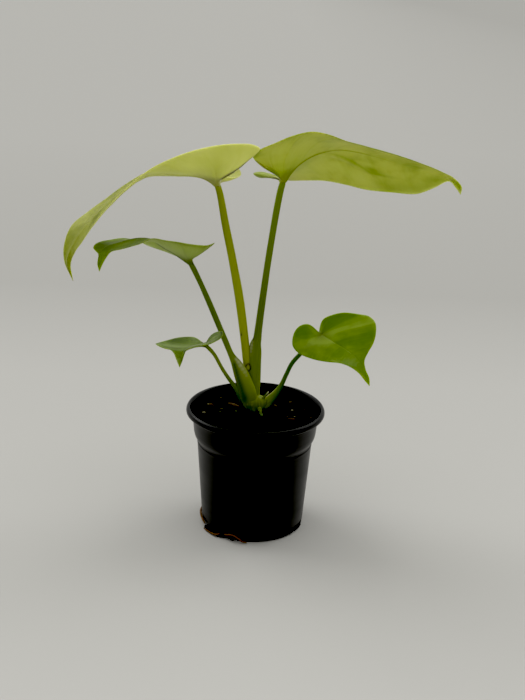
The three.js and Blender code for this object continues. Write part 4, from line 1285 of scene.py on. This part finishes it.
SMALL_RIGHT_LOOK = USUAL_LOOK | {
    "rows": 200, "columns": 36, "veins": 7, "rib_width": 0.9, "rib_depth": 0.5, "rib_end": 0.5,
    "pucker": 0.06, "wave": 0.25, "crisp": 0.55, "rim": 0.5, "lines": (0.1, 0.15, 0.15, 0.85),
    "junction": ((-3.8, 1.6, -3.5), 2.6, 1.4, 1.3, 0.2, 4.0),
    "folds": [[(0.67, 0.76, 0.01, 0.2, 0.3, 0.2)], []],
    "light": [[(0.45, 0.22, 0.07, 0.38, -0.21, 0.65), (0.4, 0.72, 0.05, 0.3, -0.15, 0.2),
               (0.47, 0.93, 0.03, 0.1, 0.0, 0.3), (0.68, 0.9, 0.035, 0.09, 0.3, 0.4),
               (0.78, 0.3, 0.05, 0.25, 0.0, 0.08)],
              [(0.475, 0.6, 0.035, 0.75, 0.07, 0.3), (0.45, 0.3, 0.03, 0.3, 0.03, 0.3),
               (0.5, 0.75, 0.012, 0.35, 0.07, 0.3), (0.75, 0.4, 0.05, 0.4, 0.0, 0.12)]],
    "dark": [[(0.26, 0.7, 0.09, 0.6, -0.1, 0.6), (0.64, 0.3, 0.05, 0.45, 0.0, 0.35),
              (0.12, 0.05, 0.03, 0.06, 0.0, 0.9)],
             [(0.25, 0.65, 0.16, 0.9, 0.0, 0.7), (0.6, 0.5, 0.06, 0.7, 0.05, 0.5),
              (0.31, 0.04, 0.03, 0.05, 0.0, 0.9)]],
}
print("side veins of the small blades:", MIDDLE_LEFT_LOOK["veins"], SMALL_LEFT_LOOK["veins"],
      SMALL_RIGHT_LOOK["veins"])

# %% [markdown]
# ### The five blades
# Each blade takes its guide curves, its look and its two finishes, and stands for the plain blade
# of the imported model.

# %% Blades
make_blade("large_left_leaf", LARGE_LEFT_BLADE, LARGE_LEFT_LOOK, [GOLD_UPPER, GOLD_LOWER],
           "large_left_blade")
make_blade("large_right_leaf", LARGE_RIGHT_BLADE, LARGE_RIGHT_LOOK, [LIME_UPPER, LIME_LOWER],
           "large_right_blade")
make_blade("middle_left_leaf", MIDDLE_LEFT_BLADE, MIDDLE_LEFT_LOOK, [GREEN_UPPER, GREEN_LOWER],
           "middle_left_blade")
make_blade("small_left_leaf", SMALL_LEFT_BLADE, SMALL_LEFT_LOOK, [DEEP_UPPER, GREEN_LOWER],
           "small_left_blade")
make_blade("small_right_leaf", SMALL_RIGHT_BLADE, SMALL_RIGHT_LOOK,
           [MOTTLED_UPPER, MOTTLED_LOWER], "small_right_blade")

# %% [markdown]
# ## Stalks, stem and roots
# Each is a tube carried along a smooth line, with an oval section at every station. A bevelled
# curve would give a round tube, but a stalk is flattened, ribbed and winged, so its section is
# worked out. Towards its foot a stalk opens into a sheath that clasps the younger stalks. Both ends
# are closed by letting the section shrink to a point along a quarter circle.

# %% Spots on a skin
# A bruise, like a spot of painted shade, is longer than it is wide, and reaches round the stalk.
SPOT_SHAPE = (1, 0.3, 0.62)
SPOT_FRAY, SPOT_GRAIN = 0.25, 1.6


def spots(points, bruises, papery):
    """How bruised and how papery each point of a skin is, from 0 to 1. The bruise share also carries
    painted shade. A bruise, like a spot of painted shade, is a place in mm, the radius of its ring
    and the breadth of the ring's line. A papery spot, where a sheath is thin, is a place in mm, its
    reach and its strength."""
    bruise, thin = np.zeros(points.shape[:2]), np.zeros(points.shape[:2])
    for x, y, z, ring_radius, breadth in bruises:
        distance = np.linalg.norm((points - (x, y, z)) * SPOT_SHAPE, axis=2)
        uneven = ring_radius * (1 + SPOT_FRAY * rough(points / SPOT_GRAIN, 2))
        bruise = np.maximum(bruise, bell(distance - uneven, breadth))
    for x, y, z, reach, strength in papery:
        distance = np.linalg.norm(points - (x, y, z), axis=2)
        thin = np.maximum(thin, strength * bell(distance, reach))
    return bruise, thin


trial_places = grid3(np.array([[0.0, 1.0, 2.0]]), 0, 0)
print("a papery spot at 0, 1 and 2 mm from its middle:",
      spots(trial_places, [], [(0, 0, 0, 1, 0.8)])[1].round(2).tolist())

# %% Tubes
BACKWARDS = np.array([0.0, 1.0, 0.0])
UPWARDS = np.array([0.0, 0.0, 1.0])
RIBS_ROUND = 4
RIB_LENGTH = 14
KNOT_LENGTH = 3.5


def tube(stations, rows, sides, plumb=BACKWARDS, wings=(), ribbing=0.02, bruises=(), papery=(),
         knots=0.0, slant=0.0):
    """Points of a tube in mm, [row, side], and its numbers for the finish.
    A station is x, y, z, half width and half depth. The width lies across the line, square to
    plumb. A wing is an angle, the shares of the line where it starts and is full, its height as
    a share of the width, and its breadth in radians. The ribbing turns round the line by slant,
    in radians a mm."""
    t = 0.5 - 0.5 * np.cos(np.linspace(0, np.pi, rows))
    line = through_points(stations, t)
    centre, half_width, half_depth = line[:, :3], line[:, 3:4], line[:, 4:5]
    along = unit(np.gradient(centre, axis=0))
    across = unit(np.cross(plumb, along))
    back = np.cross(along, across)
    angle = np.linspace(0, 2 * np.pi, sides, endpoint=False)[None, :]
    steps = np.linalg.norm(np.diff(centre, axis=0), axis=1)
    place = np.concatenate([[0], np.cumsum(steps)])[:, None]
    from_end = np.minimum(place, place[-1] - place) / np.minimum(half_width, half_depth)
    close = np.sqrt(np.clip(1 - (1 - np.clip(from_end, 0, 1)) ** 2, 0, 1))
    wing = np.zeros((rows, sides))
    swell = np.zeros((rows, sides))
    for at, begin, full, height, breadth in wings:
        turn_to = np.angle(np.exp(1j * (angle - np.radians(at))))
        ridge = bell(turn_to, breadth) * ramp(t, begin, full)[:, None]
        wing = np.maximum(wing, ridge)
        swell = swell + height * ridge
    turned_by = angle + slant * place
    fibres = rough(grid3(np.cos(turned_by) * RIBS_ROUND, np.sin(turned_by) * RIBS_ROUND,
                         place / RIB_LENGTH + 0 * angle), 2)
    bulges = knots * rough(grid3(np.cos(angle) + 0 * place, np.sin(angle) + 0 * place,
                                 place / KNOT_LENGTH + 0 * angle), 2)
    size = close * (1 + swell + ribbing * fibres + bulges)
    points = (centre[:, None] + across[:, None] * (half_width * size * np.cos(angle))[..., None]
              + back[:, None] * (half_depth * size * np.sin(angle))[..., None])
    bruise, thin = spots(points, bruises, papery)
    numbers = {
        "along": t[:, None] + 0 * angle, "around": angle / (2 * np.pi) + 0 * place,
        "wing": np.maximum(wing**2, thin), "bruise": bruise, "tone": 0 * wing,
    }
    return points, numbers


trial_tube = tube([[0, 0, 0, 2, 1], [0, 0, 9, 2, 1]], 9, 8)[0]
print("width and depth of a trial tube in mm:", np.ptp(trial_tube[..., :2], axis=(0, 1)).round(1))


# %% From tube to piece
def make_tube(name, stations, finish, slot, node, rows=160, sides=40, **shape):
    """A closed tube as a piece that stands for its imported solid."""
    points, numbers = tube(stations, rows, sides, **shape)
    faces = grid_faces(rows, sides, ring=True)
    return make_piece(name, points * MM, faces, [finish], [node], numbers)


# %% [markdown]
# ### The five stalks
# A station is listed for each place where a stalk bends or widens. The two tallest stalks lean
# least, the shorter ones lean away to both sides, and all of them end in the short stem.

# %% Lines of the stalks
LARGE_LEFT_STALK = [
    [-35.0, 8, 276.6, 2.3, 2.1], [-32.4, 8, 268.5, 2.5, 2.3], [-27.5, 8.5, 244, 2.9, 2.7],
    [-21.5, 9, 216.5, 3.1, 3], [-15.3, 10, 184.5, 3.4, 3.3], [-10.5, 11, 151.5, 3.3, 3.2],
    [-8, 12, 130, 3.1, 3], [-5.5, 13, 108.5, 2.8, 2.8], [-4, 13.5, 93, 2.4, 2.4]]
LARGE_RIGHT_STALK = [
    [15, 8, 279.0, 2.4, 2.2], [13.1, 8, 271, 2.5, 2.3], [7.4, 9, 229.5, 2.5, 2.4],
    [2.5, 10, 185, 2.7, 2.6], [-0.2, 11.5, 157, 3.1, 3], [-0.6, 11.6, 152.5, 3.4, 3.1],
    [-1.8, 11.7, 147.5, 4.5, 3.2], [-2.0, 11.9, 142, 5.1, 3.4], [-2.3, 12.3, 132, 5.5, 3.6],
    [-2.7, 12.5, 120, 5.9, 3.7], [-2.2, 12.8, 107, 5.1, 3.6], [-0.5, 13.5, 93, 3, 3]]
MIDDLE_LEFT_STALK = [
    [-55, 8, 215.4, 1.9, 1.8], [-51.7, 8, 209.5, 2.1, 1.9], [-45.1, 8, 196, 2, 1.9],
    [-39.7, 8, 184, 2.2, 2.1], [-26, 8, 152, 2.3, 2.2], [-20.5, 7.5, 139.5, 2.5, 2.3],
    [-16.3, 6.8, 132.5, 4.2, 2.5], [-13.1, 6.5, 126, 5.6, 2.6], [-9.6, 6.5, 117, 6.4, 3],
    [-6.4, 7.5, 106, 7, 3.4], [-4, 9.5, 94.5, 5, 3]]
SMALL_LEFT_STALK = [
    [-40.4, -7, 152, 1.3, 1.3], [-37.5, -6, 149, 1.5, 1.4], [-33.5, -4, 143.5, 1.4, 1.4],
    [-27.5, 0, 131, 1.4, 1.4], [-22.5, 3, 122, 1.5, 1.5], [-16.5, 6, 112.5, 1.8, 1.8],
    [-11.8, 9, 103, 2.6, 2.4], [-7.5, 11, 94.5, 3, 2.6]]
SMALL_RIGHT_STALK = [
    [49.8, 13.4, 157, 1.3, 1.3], [46, 15, 153.5, 1.7, 1.6], [41, 15.5, 148.5, 1.7, 1.7],
    [34, 14.5, 140, 1.7, 1.7], [27.8, 14, 132, 1.7, 1.7], [23.9, 14, 123, 1.7, 1.7],
    [20.5, 13.5, 114.5, 1.9, 1.8], [16.5, 13, 106, 2.8, 2.2], [11, 13, 99, 3.7, 2.6],
    [5.5, 13, 93.5, 3, 2.6]]
print("stations of the tallest stalks:", len(LARGE_LEFT_STALK), len(LARGE_RIGHT_STALK))

# %% [markdown]
# ### Marks on the stalks
# Two stalks share a brown ring where they were bruised. The open edges of a sheath are thin and
# pale, and one side of two of the stalks has painted shade, a deeper green where it is turned from
# the light. A mark is a place in mm with its size, and a long one is a row of them.

# %% Marks on the stalks
SCAR = [-7.0, 8.8, 128.8, 1.9, 0.55]
SCRATCH = [-13.2, 8.5, 157, 0.3, 0.4]
WING_TIP = [-3.9, 9.4, 153.6, 0.1, 0.7]
LEFT_WING = [(-16, 5.3, 137.2, 1.5, 0.8), (-14.6, 4.9, 135, 1.8, 0.8),
             (-12.9, 4.6, 132.4, 2, 0.7), (-11, 4.4, 129.6, 2, 0.5), (-9.4, 4.4, 126.8, 1.8, 0.4),
             (-8.2, 4.4, 124, 1.6, 0.25)]
RIGHT_WING = [(-5.2, 8.9, 150.5, 1.5, 0.7), (-5.8, 8.8, 148, 1.8, 0.8),
              (-6.1, 8.7, 145.4, 1.9, 0.7), (-6.2, 8.7, 142.6, 1.8, 0.5),
              (-6.2, 8.7, 139.6, 1.8, 0.25)]
# LEFT_SHADE and FAR_SHADE are painted shade: rows of ringless spots of deeper green on the side of a stalk
# turned from the light.
SHADE_STEPS = np.linspace(0, 1, 14)
LEFT_SHADE = [(-17.8 + 8.6 * k, 5 - 0.8 * k, 132.5 - 28 * k, 0, 1.5 + 1.6 * k)
              for k in SHADE_STEPS]
FAR_SHADE = [(24.2 - 9.5 * k, 12 - k, 115 - 18 * k, 0, 1.9 + 0.5 * k) for k in SHADE_STEPS]
print("steps of a shaded side:", len(SHADE_STEPS))

# %% Stalks
make_tube("large_left_leaf_stalk", LARGE_LEFT_STALK, GOLD_STALK, "golden_stalk",
          "large_left_stalk", rows=220, bruises=[SCAR, SCRATCH])
make_tube("large_right_leaf_stalk", LARGE_RIGHT_STALK, DARK_STALK, "green_stalk",
          "large_right_stalk", rows=260, bruises=[SCAR, WING_TIP], papery=RIGHT_WING)
make_tube("middle_left_leaf_stalk", MIDDLE_LEFT_STALK, MIDDLE_STALK, "green_stalk",
          "middle_left_stalk", rows=240, bruises=LEFT_SHADE, papery=LEFT_WING)
make_tube("small_left_leaf_stalk", SMALL_LEFT_STALK, SMALL_STALK, "green_stalk",
          "small_left_stalk", sides=32)
make_tube("small_right_leaf_stalk", SMALL_RIGHT_STALK, FAR_STALK, "green_stalk",
          "small_right_stalk", sides=40, wings=[(20, 0.66, 0.78, 0.3, 0.35)], bruises=FAR_SHADE)

# %% [markdown]
# ### Stem, shoot and roots
# The short stem is a stack of old sheath scars, so its ribs slant and its skin is knotted. A pale
# new shoot and a stub of an aerial root come out of it. The older roots have found the drain slots
# and creep along the foot of the pot. A root is never even, so its radius follows coarse noise.

# %% Lines of the stem, shoot and roots
NEW_SHOOT = [[4.5, 9, 100.7, 1.25, 1.1], [6.3, 9.6, 103.6, 1.15, 1], [8.5, 10.4, 106.4, 0.8, 0.7],
             [10.1, 11, 108.4, 0.35, 0.35]]
CROWN = [[-1.5, 13.5, 72, 3.6, 3.6], [-1.5, 13.5, 84, 5, 4.6], [-1.5, 13, 91, 6.6, 6],
         [-1.2, 11.8, 95.5, 9.2, 7.4], [-0.8, 11.3, 100, 10, 7.8], [-0.6, 11.3, 105.5, 9, 7]]
AERIAL_ROOT = [[2.8, 5.2, 97.2, 1.7, 1.5], [3.4, 3.6, 95.4, 1.5, 1.4],
               [4, 1.2, soil_top(4, 1.2) + 1.9, 1.2, 1.1],
               [4.6, -2.4, soil_top(4.6, -2.4) + 1.3, 1.3, 0.8],
               [5, -4.4, soil_top(5, -4.4) + 1, 0.7, 0.5]]
DRAIN_ROOTS = {
    "drain_root_left": [[-22.5, -29, 2.6, 0.55, 0.55], [-25.6, -33.4, 2.6, 0.8, 0.7],
                        [-28.8, -33.0, 1.8, 0.8, 0.7], [-31.2, -30.8, 1.4, 0.8, 0.7],
                        [-34.6, -26.8, 1.2, 0.7, 0.6], [-38.2, -22, 1.0, 0.45, 0.4]],
    "drain_root_front": [[-19, -31, 3.0, 0.5, 0.5], [-20.6, -35.2, 3.6, 0.7, 0.6],
                         [-20, -38.6, 5.0, 0.8, 0.7], [-17, -40.1, 5.9, 0.8, 0.7],
                         [-13.2, -41.6, 5.7, 0.8, 0.7], [-9.6, -42.5, 3.6, 0.8, 0.7],
                         [-6.8, -43.0, 1.7, 0.8, 0.7], [-3.2, -43.2, 1.0, 0.45, 0.4]],
    "drain_root_side": [[-34, 13.5, 3.2, 0.55, 0.55], [-38.8, 14.6, 3.6, 0.8, 0.7],
                        [-40.9, 9.9, 4.6, 0.8, 0.7], [-42.2, 2, 5.6, 0.8, 0.7],
                        [-41.7, -7, 5.8, 0.8, 0.7], [-39.7, -14.4, 5.0, 0.8, 0.7],
                        [-37.9, -19.2, 3.8, 0.45, 0.4]],
}
print("drain roots:", ", ".join(DRAIN_ROOTS))

# %% Stem, shoot and roots
make_tube("new_shoot_tip", NEW_SHOOT, CROWN_SKIN, "crown_skin", "new_shoot", rows=60, sides=28,
          papery=[(10.1, 11, 108.4, 2.2, 1.0)])
make_tube("short_stem", CROWN[::-1], CROWN_SKIN, "crown_skin", "stem_crown", rows=110, sides=64,
          ribbing=0.09, slant=0.07, knots=0.05, papery=[(1.2, 4.6, 104.4, 1.2, 0.25)])
make_tube("front_aerial_root", AERIAL_ROOT, CROWN_SKIN, "crown_skin", "aerial_root", rows=60,
          sides=24, plumb=UPWARDS, knots=0.12)
for node, stations in DRAIN_ROOTS.items():
    make_tube(node + "_skin", stations, ROOT_SKIN, "root_skin", node, rows=110, sides=20,
              plumb=UPWARDS, ribbing=0.08, knots=0.22)

# %% [markdown]
# ## Floor
# The pot stands on a plain pale floor that reaches to the horizon. A bent backdrop would serve only
# a camera in front of it, while a wide disc serves one that looks from any side.

# %% Floor
FLOOR_RADIUS = 45.0
FLOOR_DROP = 0.15 * MM
FLOOR_CORNERS = 96


def make_floor():
    """A round sheet just under the pot, in matt grey card, a little darker far off and to the
    right, where less light reaches it."""
    turn = np.linspace(0, 2 * np.pi, FLOOR_CORNERS, endpoint=False)
    edge = grid3(FLOOR_RADIUS * np.cos(turn), FLOOR_RADIUS * np.sin(turn), -FLOOR_DROP)
    mesh = bpy.data.meshes.new("floor")
    mesh.from_pydata(edge.tolist(), [], [list(range(FLOOR_CORNERS))])
    material, tree, shader = new_finish("matt_card", {
        "Roughness": 0.95, "IOR": 1.3, "Specular IOR Level": 0.1,
    })
    where = add_node(tree, "ShaderNodeTexCoord")
    axis = add_node(tree, "ShaderNodeSeparateXYZ", links={0: where.outputs["Object"]})
    away = add_node(tree, "ShaderNodeMapRange", {"From Min": -0.4, "From Max": 2.0},
                    {"Value": axis.outputs["Y"]})
    tone = add_node(tree, "ShaderNodeValToRGB", links={"Fac": away.outputs["Result"]},
                    stops=[(0.0, "#bfbeba"), (0.3, "#b7b6b2"), (0.45, "#abaaa6"),
                           (1.0, "#b0afab")])
    aside = add_node(tree, "ShaderNodeMapRange",
                     {"From Min": 0.3, "From Max": 2.2, "To Max": 0.36},
                     {"Value": axis.outputs["X"]})
    colour = add_node(tree, "ShaderNodeMix", {SECOND: linear("#8f8e8a")},
                      {FACTOR: aside.outputs["Result"], FIRST: tone.outputs["Color"]},
                      data_type="RGBA")
    tree.links.new(colour.outputs[MIXED], shader.inputs["Base Color"])
    mesh.materials.append(material)
    floor = bpy.data.objects.new("floor", mesh)
    bpy.context.scene.collection.objects.link(floor)


make_floor()
print("floor radius in metres:", FLOOR_RADIUS)

# %% [markdown]
# ## Light
# The light comes from a dim even sky, a wide lamp overhead and two soft ones behind, one on each
# side. Distant lamps light the floor evenly however far it goes, and the light from behind shines
# through the blades and draws the two bright edges of the pot.

# %% Light
# Each lamp is its bearing from the back towards the right, its height above the floor and its
# width, in degrees, and its strength.
SKY_STRENGTH = 0.5
SKY_COLOUR = "#fffffb"
LAMPS = {
    "overhead": (0, 78, 75, 0.85),
    "behind_left": (-58, 42, 38, 1.0),
    "behind_right": (58, 42, 38, 0.63),
}


def add_lamp(name, bearing, height, width, strength):
    """A distant lamp whose light falls from that bearing and height."""
    lamp = bpy.data.lights.new(name, "SUN")
    lamp.energy = strength
    lamp.angle = np.radians(width)
    bearing, height = np.radians(bearing), np.radians(height)
    away = np.array([np.cos(height) * np.sin(bearing), np.cos(height) * np.cos(bearing),
                     np.sin(height)])
    side = unit(np.cross([0.0, 1.0, 0.0], away))
    turn = np.column_stack([side, np.cross(away, side), away])
    light = bpy.data.objects.new(name, lamp)
    light.matrix_world = Matrix(turn.tolist()).to_4x4()
    bpy.context.scene.collection.objects.link(light)


for lamp_name, settings in LAMPS.items():
    add_lamp(lamp_name, *settings)
world = bpy.data.worlds.new("even_sky")
world.use_nodes = True
sky = world.node_tree.nodes["Background"]
sky.inputs["Color"].default_value = linear(SKY_COLOUR)
sky.inputs["Strength"].default_value = SKY_STRENGTH
bpy.context.scene.world = world
print("lamps:", ", ".join(LAMPS))

# %% [markdown]
# ## Tone
# The picture shows its colours as they are, without a film curve, and has the deep blacks of a
# small camera: what reflects about a fiftieth of the light goes down to black.

# %% Tone
BLACK_LEVEL = 0.021
view = bpy.context.scene.view_settings
view.view_transform = "Standard"
view.use_curve_mapping = True
view.curve_mapping.black_level = (BLACK_LEVEL,) * 3
view.curve_mapping.update()
print("tone:", view.view_transform, "with blacks from", BLACK_LEVEL)
